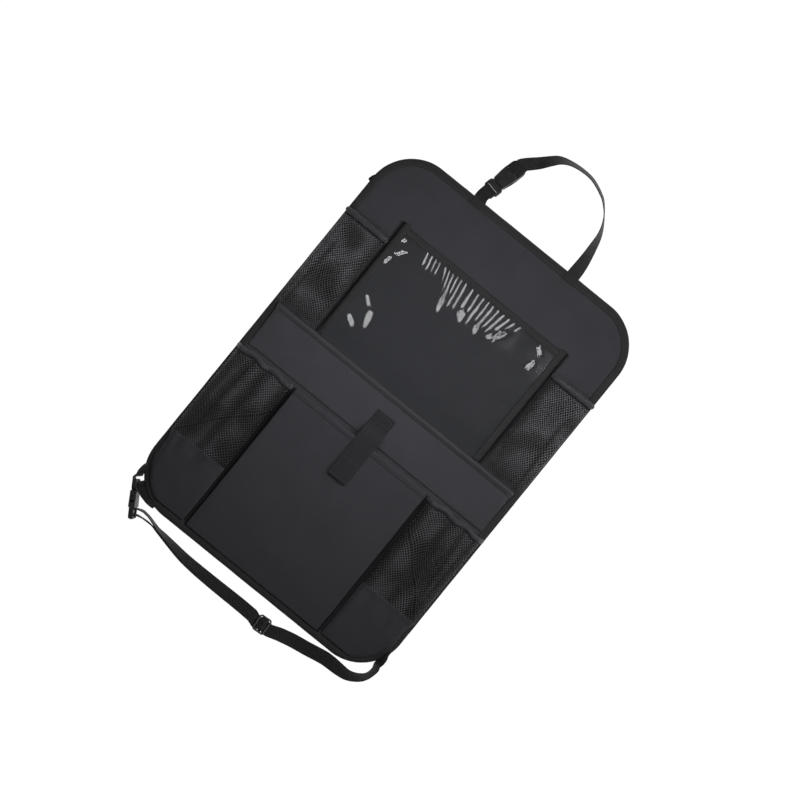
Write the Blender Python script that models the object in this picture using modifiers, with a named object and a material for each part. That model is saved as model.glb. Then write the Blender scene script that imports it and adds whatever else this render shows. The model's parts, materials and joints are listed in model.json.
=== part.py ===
# Seat-back organizer for a car, lying flat on its back with its pockets up.
# Origin at the centre of the panel's back face, +X to its right, +Y towards the headrest loop,
# +Z out of its front. All sizes are in metres.

from math import atan2, cos, pi, radians, sin, sqrt

import bmesh
import bpy
import numpy as np
from mathutils import Vector

# Panel: a stiffened board in a fabric sleeve, with a thinner sewn margin inside the edge binding
panel_width = 0.424
panel_height = 0.597
corner_radius = 0.067
board_thickness = 0.0030
binding_width = 0.011
tape_thickness = 0.0006         # one layer of folded binding tape
seam_gap = 0.0003               # play between pieces that are sewn or laid on each other
cloth_thickness = 0.0006
net_thickness = 0.0008
film_thickness = 0.0004
hem_width = 0.009
corner_steps = 7
half_width = panel_width / 2
half_height = panel_height / 2

# Tablet pocket
window_width = 0.265            # clear film, edge to edge
window_bottom = 0.0245
window_top = 0.208              # upper edge of its hem
window_depth = 0.0056
window_side_tape = 0.0065
window_ear = 0.004              # how far the side tapes stand above the hem

# Upper net pockets, one on each side of the tablet pocket
net_outer = half_width - 0.0025  # X of the outer wall's foot
upper_net_inner = window_width / 2 + 0.0125
upper_net_bottom = 0.0245
upper_net_top = 0.181
upper_net_depth = 0.009
elastic_width = 0.011

# Slip pocket across the middle
band_half_width = half_width - 0.0110
band_top = 0.022
band_bottom = -0.0465
band_depth = 0.0120

# Magazine pocket with folded gussets
magazine_half_width = 0.1125    # front face
magazine_foot = magazine_half_width + 0.0010   # X of the gusset's seam
magazine_top = -0.052
magazine_bottom = -half_height + 0.0115
magazine_depth = 0.012
gusset_fold = 0.7               # how far the gusset tucks in, as a share of the depth

# Lower net pockets with solid fabric bases
lower_net_outer = half_width - 0.0075
lower_net_inner = magazine_foot + 0.0045
lower_net_top = -0.050
lower_net_seam = -0.199
lower_net_depth = 0.011
base_bottom = -half_height + 0.0115
pleat_height = 0.0022
pleat_lean = 0.168              # how far a pleat drifts outwards, as a share of the front's width
net_strut = 0.0022              # width of one strand of the net

# Closure tab, with its hook and loop patches
tab_width = 0.030
tab_centre = 0.005
tab_top = -0.005
tab_bottom = -0.113
tab_thickness = 0.0015
patch_thickness = 0.0010
patch_length = 0.034
patch_width = 0.026

# Webbing, side-release buckles and strap adjuster
webbing_width = 0.019
webbing_thickness = 0.0014
floor_clearance = 0.0004
buckle_length = 0.054
buckle_width = 0.0242
buckle_thickness = 0.009
buckle_split = 0.0150           # from the male end to the female's mouth
male_thickness = 0.0062
bar_length = 0.0032
bar_thickness = 0.0030
slot_length = 0.0026
slot_margin = 0.0006            # play of the webbing in a slot, on each side
first_slot = (0.0390, 0.0415)   # slots of the female's webbing end, from the male end
second_slot = (0.0460, 0.0503)
adjuster_length = 0.0190
adjuster_width = 0.0245
adjuster_thickness = 0.0030
adjuster_bar = 0.0026

cloth_foot = board_thickness + seam_gap + net_thickness / 2   # middle of the thickest sheet at its seam
fabric_colour = (0.040, 0.039, 0.046)
webbing_colour = (0.018, 0.018, 0.019)


def clear_scene():
    for item in list(bpy.data.objects):
        bpy.data.objects.remove(item, do_unlink=True)


def make_collection(name):
    group = bpy.data.collections.new(name)
    bpy.context.scene.collection.children.link(group)
    return group


clear_scene()
parts = make_collection("car_organizer")
cutters = make_collection("cutters")


def make_material(name, colour, roughness, metallic=0.0, alpha=1.0):
    material = bpy.data.materials.new(name)
    material.use_nodes = True
    shader = material.node_tree.nodes["Principled BSDF"]
    shader.inputs["Base Color"].default_value = (*colour, 1.0)
    shader.inputs["Roughness"].default_value = roughness
    shader.inputs["Metallic"].default_value = metallic
    shader.inputs["Alpha"].default_value = alpha
    return material


panel_cloth = make_material("panel_cloth", fabric_colour, 0.85)
pocket_cloth = make_material("pocket_cloth", fabric_colour, 0.8)
binding_tape = make_material("binding_tape", (0.028, 0.028, 0.030), 0.7)
clear_film = make_material("clear_film", (0.6, 0.6, 0.62), 0.12, alpha=0.35)
open_net = make_material("open_net", (0.030, 0.030, 0.034), 0.75)
webbing_weave = make_material("webbing_weave", webbing_colour, 0.7)
hook_and_loop = make_material("hook_and_loop", (0.022, 0.022, 0.024), 0.9)
buckle_plastic = make_material("buckle_plastic", (0.020, 0.020, 0.021), 0.45)


def finish(bm, name, material, group=parts):
    bmesh.ops.recalc_face_normals(bm, faces=bm.faces)
    mesh = bpy.data.meshes.new(name)
    bm.to_mesh(mesh)
    bm.free()
    item = bpy.data.objects.new(name, mesh)
    item.data.materials.append(material)
    group.objects.link(item)
    return item


def solidify(item, thickness):
    wall = item.modifiers.new("wall", "SOLIDIFY")
    wall.thickness = thickness
    wall.offset = 0.0
    return item


def apply_modifiers(item):
    bpy.context.view_layer.update()
    graph = bpy.context.evaluated_depsgraph_get()
    mesh = bpy.data.meshes.new_from_object(item.evaluated_get(graph))
    item.modifiers.clear()
    item.data = mesh
    return item


def boolean(item, tool, operation):
    cut = item.modifiers.new(operation.lower(), "BOOLEAN")
    cut.operation = operation
    cut.object = tool
    cut.solver = "EXACT"
    return item


def hide_cutter(item):
    for group in list(item.users_collection):
        group.objects.unlink(item)
    cutters.objects.link(item)
    item.hide_render = True
    item.display_type = "WIRE"
    return item


def rounded_rectangle(width, height, radius, steps=corner_steps):
    """Points of a rectangle with round corners, anticlockwise."""
    points = []
    corners = ((1, 1, 0.0), (-1, 1, pi / 2), (-1, -1, pi), (1, -1, 3 * pi / 2))
    for side_x, side_y, start in corners:
        centre_x = side_x * (width / 2 - radius)
        centre_y = side_y * (height / 2 - radius)
        for step in range(steps + 1):
            angle = start + step / steps * pi / 2
            points.append((centre_x + radius * cos(angle), centre_y + radius * sin(angle)))
    return points


def plate(name, outline, bottom, top, material, group=parts):
    """A flat outline, filled and given its thickness as a 2D curve, then made a mesh."""
    curve = bpy.data.curves.new(name, "CURVE")
    curve.dimensions = "2D"
    curve.fill_mode = "BOTH"
    curve.extrude = (top - bottom) / 2
    curve.render_resolution_u = 0
    spline = curve.splines.new("POLY")
    spline.points.add(len(outline) - 1)
    for point, (x, y) in zip(spline.points, outline):
        point.co = (x, y, 0.0, 1.0)
    spline.use_cyclic_u = True
    source = bpy.data.objects.new(name + "_curve", curve)
    parts.objects.link(source)
    bpy.context.view_layer.update()
    graph = bpy.context.evaluated_depsgraph_get()
    bm = bmesh.new()
    bm.from_mesh(bpy.data.meshes.new_from_object(source.evaluated_get(graph)))
    bpy.data.objects.remove(source)
    bmesh.ops.remove_doubles(bm, verts=bm.verts, dist=1e-6)
    bmesh.ops.translate(bm, verts=bm.verts, vec=(0.0, 0.0, (bottom + top) / 2))
    return finish(bm, name, material, group)


def loft(name, rings, material, closed=False, group=parts):
    """A closed body through rings of equal length; the first and last are capped unless closed."""
    bm = bmesh.new()
    rows = [[bm.verts.new(point) for point in ring] for ring in rings]
    count = len(rings[0])
    pairs = list(zip(rows, rows[1:]))
    if closed:
        pairs.append((rows[-1], rows[0]))
    for first, second in pairs:
        for index in range(count):
            following = (index + 1) % count
            bm.faces.new((first[index], first[following], second[following], second[index]))
    if not closed:
        bm.faces.new(rows[0][::-1])
        bm.faces.new(rows[-1])
    return finish(bm, name, material, group)


def box(name, low, high, group=cutters, material=buckle_plastic):
    bm = bmesh.new()
    bmesh.ops.create_cube(bm, size=1.0)
    size = [top - bottom for bottom, top in zip(low, high)]
    centre = [(top + bottom) / 2 for bottom, top in zip(low, high)]
    bmesh.ops.scale(bm, vec=size, verts=bm.verts)
    bmesh.ops.translate(bm, vec=centre, verts=bm.verts)
    return finish(bm, name, material, group)


def cloth(name, surface, columns, rows, thickness, material):
    """A sheet made from a flat grid: surface(column, row) gives each point's place."""
    bm = bmesh.new()
    bmesh.ops.create_grid(bm, x_segments=columns, y_segments=rows, size=0.5)
    for vertex in bm.verts:
        column = (vertex.co.x + 0.5) * columns
        row = (vertex.co.y + 0.5) * rows
        vertex.co = surface(column, row)
    return solidify(finish(bm, name, material), thickness)


def net(name, surface, columns, rows, cell, strut, material):
    """A sheet of diamond gaps. Poked quads lose their old edges, and each diamond is inset and opened."""
    bm = bmesh.new()
    bmesh.ops.create_grid(bm, x_segments=columns, y_segments=rows, size=0.5)
    corners = set(bm.verts)
    for vertex in bm.verts:
        vertex.co.x = (vertex.co.x + 0.5) * columns * cell[0]
        vertex.co.y = (vertex.co.y + 0.5) * rows * cell[1]
    bmesh.ops.poke(bm, faces=bm.faces[:])
    old_edges = [edge for edge in bm.edges
                 if not edge.is_boundary and edge.verts[0] in corners and edge.verts[1] in corners]
    bmesh.ops.dissolve_edges(bm, edges=old_edges, use_verts=False)
    diamonds = [face for face in bm.faces if len(face.verts) == 4]
    bmesh.ops.inset_individual(bm, faces=diamonds, thickness=strut / 2, use_even_offset=True)
    bmesh.ops.delete(bm, geom=diamonds, context="FACES")
    for vertex in bm.verts:
        vertex.co = surface(vertex.co.x / cell[0], vertex.co.y / cell[1])
    return solidify(finish(bm, name, material), net_thickness)


def folded_tape(name, stations, width, inner_gap, material):
    """Tape folded over an edge. Each station is (edge point, outward normal, direction into the cloth)."""
    inner = inner_gap
    outer = inner_gap + tape_thickness
    nose = tape_thickness * 1.6
    section = ((width, outer), (nose * 0.5, outer), (0.0, 0.0), (nose * 0.5, -outer), (width, -outer),
               (width, -inner), (nose, -inner), (nose, inner), (width, inner))
    rings = []
    for edge, normal, inward in stations:
        rings.append([edge + inward * along + normal * across for along, across in section])
    return loft(name, rings, material)


def elastic_band(name, stations, width, material):
    """A flat elastic with a round upper edge. Each station is (edge point, outward normal)."""
    half = net_thickness / 2 + tape_thickness
    rings = []
    for edge, normal in stations:
        below = Vector((0.0, -1.0, 0.0))
        rings.append([edge + below * width + normal * half, edge + below * half + normal * half, edge,
                      edge + below * half - normal * half, edge + below * width - normal * half])
    return loft(name, rings, material)


def smooth(values, steps):
    """Catmull-Rom curve through rows of numbers, with the same number of steps in each span."""
    values = np.array(values, float)
    ends = np.vstack([2 * values[0] - values[1], values, 2 * values[-1] - values[-2]])
    result = []
    for index in range(1, len(ends) - 2):
        a, b, c, d = ends[index - 1:index + 3]
        for step in range(steps):
            t = step / steps
            result.append(0.5 * (2 * b + (c - a) * t + (2 * a - 5 * b + 4 * c - d) * t ** 2
                                 + (3 * b - a - 3 * c + d) * t ** 3))
    result.append(values[-1])
    return result


def strap_axes(heading, tilt):
    """Length, width and face directions for a heading and tilt in degrees; +tilt drops the right side."""
    along = Vector((cos(radians(heading)), sin(radians(heading)), 0.0))
    right = Vector((along.y, -along.x, 0.0))
    up = Vector((0.0, 0.0, 1.0))
    across = right * cos(radians(tilt)) - up * sin(radians(tilt))
    face = up * cos(radians(tilt)) + right * sin(radians(tilt))
    return along, across, face


def strip_section(centre, side, face):
    return [centre - side - face, centre + side - face, centre + side + face, centre - side + face]


def webbing(name, stations, material=webbing_weave):
    """A strap through stations (centre, width direction, ...); its thickness lies square to both."""
    rings = []
    last = len(stations) - 1
    for index, station in enumerate(stations):
        centre, across = station[0], station[1].normalized()
        before = stations[max(index - 1, 0)][0]
        after = stations[min(index + 1, last)][0]
        face = across.cross((after - before).normalized()).normalized() * (webbing_thickness / 2)
        side = across * (webbing_width / 2)
        rings.append(strip_section(centre, side, face))
    return loft(name, rings, material)


def resting_height(tilt, width=webbing_width, thickness=webbing_thickness):
    """Height of a strap's centre when its lower edge lies on the ground."""
    lean = radians(tilt)
    return floor_clearance + abs(sin(lean)) * width / 2 + abs(cos(lean)) * thickness / 2


def free_run(route, steps=3):
    """Stations of a strap through (x, y, z, tilt) rows; z of None lets it rest on the ground."""
    rows = []
    for x, y, z, tilt in route:
        rows.append((x, y, resting_height(tilt) if z is None else z, tilt))
    rows = smooth(rows, steps)
    stations = []
    last = len(rows) - 1
    for index, row in enumerate(rows):
        before = rows[max(index - 1, 0)]
        after = rows[min(index + 1, last)]
        heading = atan2(after[1] - before[1], after[0] - before[0]) * 180 / pi
        stations.append((Vector(row[:3]), *strap_axes(heading, row[3])[1:]))
    return stations


# Panel outline and the pockets' shapes

def inner_edge(y, inset):
    """X of the panel's outline at this height, moved in by the inset."""
    radius = corner_radius - inset
    past = abs(y) - (half_height - corner_radius)
    if past <= 0:
        return half_width - inset
    return half_width - corner_radius + sqrt(max(radius ** 2 - past ** 2, 0.0))


def dome_section(left, right, foot, depth, power=4.0, samples=81):
    """A pocket's cross-section, a squared arch from foot to foot, with its running length."""
    angles = np.linspace(pi, 0.0, samples)
    cosines = np.cos(angles)
    x = (left + right) / 2 + (right - left) / 2 * np.sign(cosines) * np.abs(cosines) ** (2 / power)
    z = foot + depth * np.abs(np.sin(angles)) ** (2 / power)
    return with_length(x, z)


def with_length(x, z):
    x = np.array(x, float)
    z = np.array(z, float)
    length = np.concatenate([[0.0], np.cumsum(np.hypot(np.diff(x), np.diff(z)))])
    return x, z, length / length[-1]


def along_section(section, share):
    x, z, length = section
    return float(np.interp(share, length, x)), float(np.interp(share, length, z))


def section_normal(section, share):
    low = along_section(section, max(share - 0.004, 0.0))
    high = along_section(section, min(share + 0.004, 1.0))
    return Vector((low[1] - high[1], 0.0, high[0] - low[0])).normalized()


def opening_rise(y, bottom, full, least=0.0004):
    """Share of its depth that a pocket has at this height: none at its bottom seam, all from full up."""
    share = min(max((y - bottom) / (full - bottom), 0.0), 1.0)
    return least + (1 - least) * sin(share * pi / 2) ** 0.8


# Panel and edge binding

def panel_outline(inset):
    return rounded_rectangle(panel_width - 2 * inset, panel_height - 2 * inset, corner_radius - inset)


def make_panel():
    leg = tape_thickness + seam_gap
    board_inset = binding_width + seam_gap
    board = plate("back_panel", panel_outline(board_inset), 0.0, board_thickness, panel_cloth)
    margin_inset = 2 * tape_thickness + seam_gap
    top = board_thickness - leg
    margin = plate("sewn_margin", panel_outline(margin_inset), leg, top, panel_cloth, cutters)
    boolean(board, hide_cutter(margin), "UNION")


def make_edge_binding():
    """Tape folded round the margin all the way, with its tail end standing out of the left side."""
    lift = 0.0001
    nose = 0.0009
    top = board_thickness
    section = ((binding_width, lift), (nose, lift), (0.0, board_thickness / 2), (nose, top),
               (binding_width, top), (binding_width, top - tape_thickness),
               (2 * tape_thickness, top - tape_thickness), (2 * tape_thickness, tape_thickness),
               (binding_width, tape_thickness))
    outlines = {}
    for inset, z in section:
        outlines[inset] = panel_outline(inset)
    rings = []
    for index in range(len(outlines[0.0])):
        rings.append([(*outlines[inset][index], z) for inset, z in section])
    binding = loft("edge_binding", rings, binding_tape, closed=True)
    tail_y = half_height - corner_radius - 0.0060
    tail = [(-half_width + 0.0006, tail_y), (-half_width - 0.0035, tail_y + 0.0008),
            (-half_width - 0.0005, tail_y + 0.0095), (-half_width + 0.0006, tail_y + 0.0100)]
    low, high = board_thickness * 0.3, board_thickness * 0.8
    tail_end = plate("binding_tail", tail, low, high, binding_tape, cutters)
    boolean(binding, hide_cutter(tail_end), "UNION")


# Tablet pocket

def film_height(x, y):
    """Height of the film above the ground: slack at the bottom seam, creased under the top hem."""
    rise = opening_rise(y, window_bottom, window_bottom + 0.040)
    crown = 1 - 0.05 * (2 * x / window_width) ** 2
    creases = 0.0006 * sin(x * 2 * pi / 0.021) * sin(pi * min(max((0.198 - y) / 0.055, 0.0), 1.0))
    creases *= 1 - (2 * x / window_width) ** 4
    return cloth_foot + window_depth * rise * crown + creases * rise


def make_tablet_pocket():
    columns, rows = 22, 8
    film_top = window_top - 2 * tape_thickness - seam_gap

    def film(column, row):
        x = (column / columns - 0.5) * window_width
        y = window_bottom + (film_top - window_bottom) * row / rows
        return x, y, film_height(x, y)

    cloth("tablet_window", film, columns, rows, film_thickness, clear_film)

    hem_half = window_width / 2 - window_side_tape / 2 - 2 * seam_gap
    stations = []
    for step in range(9):
        x = hem_half * (step / 4 - 1)
        level = film_height(x, 0.2035)
        stations.append((Vector((x, window_top, level)), Vector((0, 0, 1)), Vector((0, -1, 0))))
    folded_tape("tablet_window_hem", stations, hem_width, film_thickness / 2 + seam_gap, binding_tape)

    for side, name in ((-1, "left"), (1, "right")):
        edge = window_width / 2

        def tape(column, row, side=side):
            y = window_bottom + (window_top + window_ear - window_bottom) * row / 7
            level = film_height(edge, min(y, 0.2035))
            over = level + film_thickness / 2 + seam_gap + cloth_thickness / 2 + 0.0001
            rise = level - cloth_foot
            profile = ((edge + 0.0095, cloth_foot), (edge + 0.0088, cloth_foot + 0.45 * rise),
                       (edge + 0.0060, cloth_foot + 0.85 * rise), (edge + 0.0030, over),
                       (edge - window_side_tape / 2, over))
            x, z = profile[round(column)]
            return side * x, y, z

        cloth("tablet_side_tape_" + name, tape, 4, 7, cloth_thickness, binding_tape)


# Upper net pockets

def make_upper_net(side, name):
    left, right = sorted((side * net_outer, side * upper_net_inner))
    net_top = upper_net_top - elastic_width - seam_gap
    shares = (0.0, 0.14, 0.38, 0.62, 0.86, 1.0)

    def section(y):
        rise = opening_rise(y, upper_net_bottom, upper_net_bottom + 0.045)
        return dome_section(left, right, cloth_foot, upper_net_depth * rise)

    columns, rows = len(shares) - 1, 7

    def surface(column, row):
        y = upper_net_bottom + (net_top - upper_net_bottom) * row / rows
        share = float(np.interp(column, range(len(shares)), shares))
        x, z = along_section(section(y), share)
        return x, y, z

    cell = ((right - left + 1.6 * upper_net_depth) / columns, (net_top - upper_net_bottom) / rows)
    net("upper_net_" + name, surface, columns, rows, cell, net_strut, open_net)

    mouth = section(upper_net_top)
    stations = []
    for share in (0.01, 0.06, 0.09, 0.12, 0.16, 0.24, 0.5, 0.76, 0.84, 0.88, 0.91, 0.94, 0.99):
        x, z = along_section(mouth, share)
        stations.append((Vector((x, upper_net_top, z)), section_normal(mouth, share)))
    elastic_band("upper_elastic_" + name, stations, elastic_width, binding_tape)


# Slip pocket across the middle

def band_rise(y):
    return 0.0004 + band_depth * (y - band_bottom) / (band_top - band_bottom)


def band_section(y):
    return dome_section(-band_half_width, band_half_width, cloth_foot, band_rise(y), power=9.0, samples=161)


def band_shares():
    return (0.003, 0.014, 0.022, 0.032, 0.05, 0.09, 0.25, 0.5, 0.75, 0.91, 0.95, 0.968, 0.978, 0.986, 0.997)


def make_band():
    shares = (0.0, *band_shares(), 1.0)
    cloth_top = band_top - 2 * tape_thickness - seam_gap
    rows = 4

    def surface(column, row):
        y = band_bottom + (cloth_top - band_bottom) * row / rows
        x, z = along_section(band_section(y), shares[round(column)])
        return Vector((x, y, z))

    cloth("middle_band", surface, len(shares) - 1, rows, cloth_thickness, pocket_cloth)

    stations = []
    for column in range(1, len(shares) - 1):
        top = surface(column, rows)
        inward = (surface(column, rows - 1) - top).normalized()
        edge = top + inward * (band_top - cloth_top) / inward.y
        across = surface(column + 1, rows) - surface(column - 1, rows)
        stations.append((edge, Vector((-across.z, 0.0, across.x)).normalized(), inward))
    folded_tape("middle_band_hem", stations, hem_width, cloth_thickness / 2 + 2 * seam_gap, binding_tape)


# Magazine pocket

def magazine_rise(y):
    share = (magazine_top - y) / (magazine_top - magazine_bottom)
    return 0.0006 + magazine_depth * (1 - share ** 1.15)


def magazine_section(y):
    """Foot, gusset fold, front edge, crowned front, and the same again on the right."""
    rise = magazine_rise(y)
    tuck = magazine_foot - gusset_fold * rise
    half = [(-magazine_foot, 0.0), (-(magazine_foot + tuck) / 2, 0.22 * rise), (-tuck, 0.5 * rise),
            (-(tuck + magazine_half_width) / 2, 0.76 * rise), (-magazine_half_width, rise),
            (-magazine_half_width + 0.004, rise + 0.0004), (-0.060, rise * 1.08), (-0.020, rise * 1.11)]
    points = half + [(-x, z) for x, z in reversed(half)]
    return [(x, cloth_foot + z) for x, z in points]


def magazine_front(y):
    """Height of the middle of the pocket's front."""
    return cloth_foot + magazine_rise(y) * 1.11


def make_magazine_pocket():
    columns = len(magazine_section(0)) - 1
    rows = 8
    cloth_top = magazine_top - 2 * tape_thickness - seam_gap

    def surface(column, row):
        y = magazine_bottom + (cloth_top - magazine_bottom) * row / rows
        x, z = magazine_section(y)[round(column)]
        return x, y, z

    cloth("magazine_pocket", surface, columns, rows, cloth_thickness, pocket_cloth)

    mouth = magazine_section(magazine_top)[5:-5]
    slope = (magazine_front(magazine_top) - magazine_front(magazine_top - hem_width)) / hem_width
    inward = Vector((0.0, -1.0, -slope)).normalized()
    stations = []
    for x, z in mouth:
        stations.append((Vector((x, magazine_top, z)), Vector((0, 0, 1)), inward))
    folded_tape("magazine_pocket_hem", stations, hem_width, cloth_thickness / 2 + seam_gap, pocket_cloth)


# Lower net pockets and their bases

def lower_rise(y):
    """Depth of the side pockets: fullest at the mouth, closing at the bottom seam."""
    share = (lower_net_top - y) / (lower_net_top - base_bottom)
    return 0.0006 + lower_net_depth * (1 - max(share, 0.0) ** 2.4)


def net_mouth(x):
    """Y of the wavy mouth at this distance from the middle."""
    return lower_net_top - 0.0022 - 0.0022 * cos((x - 0.128) * 2 * pi / 0.036)


def lower_section(y, pleats=1.0):
    """Outer foot, wall, front with two pleats that lean out as they fall, wall, inner foot."""
    rise = lower_rise(y)
    inner = lower_net_inner
    outer = min(lower_net_outer, inner_edge(y, half_width - lower_net_outer))
    drop = min(max((lower_net_top - y) / (lower_net_top - lower_net_seam), 0.0), 1.0)
    fold = pleat_height * pleats
    lean = pleat_lean * drop
    corner_in, corner_out = 0.0070, 0.0080
    front_width = outer - corner_out - inner - corner_in
    front = [(0.168, -0.4 * fold), (0.350, fold), (0.476 + lean / 2, -0.4 * fold), (0.601 + lean, fold),
             (0.769 + lean / 2, -0.4 * fold)]
    points = [(inner, 0.0), (inner + 0.0015, 0.72 * rise), (inner + corner_in, rise)]
    for share, lift in front:
        points.append((inner + corner_in + front_width * share, rise + lift))
    points += [(outer - corner_out, rise), (outer - 0.0020, 0.72 * rise), (outer, 0.0)]
    return [(x, cloth_foot + z) for x, z in points]


def make_lower_net(side, name):
    knots = (0, 2, 3, 4, 5, 6, 7, 8, 10)
    columns, rows = len(knots) - 1, 5
    bottom = lower_net_seam

    def place(column, y):
        points = lower_section(y)
        first = min(int(column), columns - 1)
        share = column - first
        start, end = knots[first], knots[first + 1]
        if end - start == 2:
            piece = points[start:end + 1]
            x, z = along_section(with_length([p[0] for p in piece], [p[1] for p in piece]), share)
        else:
            x = points[start][0] + (points[end][0] - points[start][0]) * share
            z = points[start][1] + (points[end][1] - points[start][1]) * share
        return x, z

    def surface(column, row):
        x, z = place(column, lower_net_top)
        top = net_mouth(x) - hem_width - 2 * seam_gap
        y = bottom + (top - bottom) * row / rows
        x, z = place(column, y)
        return side * x, y, z

    cell = ((lower_net_outer - lower_net_inner + 2 * lower_net_depth) / columns,
            (lower_net_top - bottom) / rows)
    net("lower_net_" + name, surface, columns, rows, cell, net_strut, open_net)

    mouth = lower_section(lower_net_top)
    section = with_length([p[0] for p in mouth], [p[1] for p in mouth])
    stations = []
    for share in (0.01, *section[2][1:-1], 0.99):
        x, z = along_section(section, share)
        normal = section_normal(section, share)
        stations.append((Vector((side * x, net_mouth(x), z)), Vector((side * normal.x, 0, normal.z))))
    elastic_band("lower_elastic_" + name, stations, hem_width, binding_tape)


def make_lower_base(side, name):
    columns, rows = len(lower_section(0)) - 1, 7
    top = lower_net_seam - seam_gap
    fade_length = 0.030

    def surface(column, row):
        y = base_bottom + (top - base_bottom) * row / rows
        x, z = lower_section(y, max(1 - (top - y) / fade_length, 0.0))[round(column)]
        return side * x, y, z

    cloth("lower_base_" + name, surface, columns, rows, cloth_thickness, pocket_cloth)


# Closure tab

def make_closure_tab():
    """A strip sewn to the band that climbs over the magazine pocket's hem and sticks to its front."""
    lay = tab_thickness / 2 + seam_gap
    stack = 2 * patch_thickness + 3 * seam_gap

    def band_front(y):
        return cloth_foot + band_rise(y) + cloth_thickness / 2

    def front(y):
        return magazine_front(y) + cloth_thickness / 2

    hem_front = magazine_front(magazine_top) + cloth_thickness / 2 + seam_gap + tape_thickness
    path = [(tab_top, band_front(tab_top) + lay + 0.0002),
            (tab_top - 0.012, band_front(tab_top - 0.012) + lay + 0.0002),
            (tab_top - 0.022, band_front(tab_top - 0.022) + lay + 0.0016),
            (tab_top - 0.034, hem_front + lay - 0.0012),
            (magazine_top + 0.004, hem_front + lay + 0.0009),
            (magazine_top - 0.003, hem_front + lay + 0.0010),
            (magazine_top - 0.014, front(magazine_top - 0.014) + lay + 0.0022),
            (tab_bottom + patch_length, front(tab_bottom + patch_length) + stack + tab_thickness / 2),
            (tab_bottom, front(tab_bottom) + stack + tab_thickness / 2)]
    rows = smooth(path, 2)
    rings = []
    last = len(rows) - 1
    for index, (y, z) in enumerate(rows):
        before, after = rows[max(index - 1, 0)], rows[min(index + 1, last)]
        along = Vector((0.0, after[0] - before[0], after[1] - before[1])).normalized()
        face = Vector((0.0, along.z, -along.y)) * tab_thickness / 2
        centre = Vector((tab_centre, y, z))
        side = Vector((tab_width / 2, 0.0, 0.0))
        rings.append(strip_section(centre, side, face))
    loft("closure_tab", rings, hook_and_loop)

    for name, layer in (("loop_patch", 0), ("hook_patch", 1)):
        low = seam_gap + layer * (patch_thickness + seam_gap)
        rings = []
        for step in range(4):
            y = tab_bottom + 0.002 + (patch_length - 0.004) * step / 3
            base = front(y) + low
            left, right = tab_centre - patch_width / 2, tab_centre + patch_width / 2
            rings.append([(left, y, base), (right, y, base),
                          (right, y, base + patch_thickness), (left, y, base + patch_thickness)])
        loft(name, rings, hook_and_loop)


# Side-release buckle, modelled once along +X from its male end, then placed twice

def buckle_outline(points):
    """A symmetric outline from its half-widths along the length."""
    return [(x, -w) for x, w in points] + [(x, w) for x, w in reversed(points)]


def round_edges(item, width, angle=40):
    bevel = item.modifiers.new("edges", "BEVEL")
    bevel.width = width
    bevel.segments = 1
    bevel.limit_method = "ANGLE"
    bevel.angle_limit = radians(angle)
    return item


def make_male_mesh():
    half = buckle_width / 2
    slot_half = webbing_width / 2 + slot_margin
    slot_end = bar_length + slot_length
    base_outline = buckle_outline([(0.0, half - 0.0022), (0.0008, half - 0.0008), (0.003, half - 0.0002),
                                   (0.0105, half - 0.0002), (0.0128, half - 0.0012),
                                   (buckle_split - seam_gap, half - 0.0034)])
    thick = male_thickness / 2
    male = plate("male_source", base_outline, -thick, thick, buckle_plastic, cutters)
    round_edges(male, 0.0007)
    slot = box("male_slot", (bar_length, -slot_half, -0.01), (slot_end, slot_half, 0.01))
    boolean(male, hide_cutter(slot), "DIFFERENCE")
    for sign in (-1, 1):
        relief = box("bar_relief", (-0.002, -slot_half, sign * bar_thickness / 2),
                     (slot_end - 0.001, slot_half, sign * 0.01))
        boolean(male, hide_cutter(relief), "DIFFERENCE")
    # Guide tongue and the two springy arms with their barbed heads
    prong = 0.0019
    tongue = box("tongue", (buckle_split - 0.002, -0.0016, -prong), (buckle_split + 0.0155, 0.0016, prong))
    boolean(male, hide_cutter(tongue), "UNION")
    for sign in (-1, 1):
        arm = [(-0.0020, 0.0052), (0.0080, 0.0058), (0.0170, 0.0048), (0.0180, 0.0060), (0.0160, 0.0082),
               (0.0132, 0.0106), (0.0078, 0.0102), (0.0078, 0.0082), (0.0040, 0.0080), (-0.0020, 0.0078)]
        outline = [(buckle_split + x, sign * y) for x, y in arm]
        piece = plate("arm", outline, -prong, prong, buckle_plastic, cutters)
        boolean(male, hide_cutter(piece), "UNION")
    return apply_modifiers(male)


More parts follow.
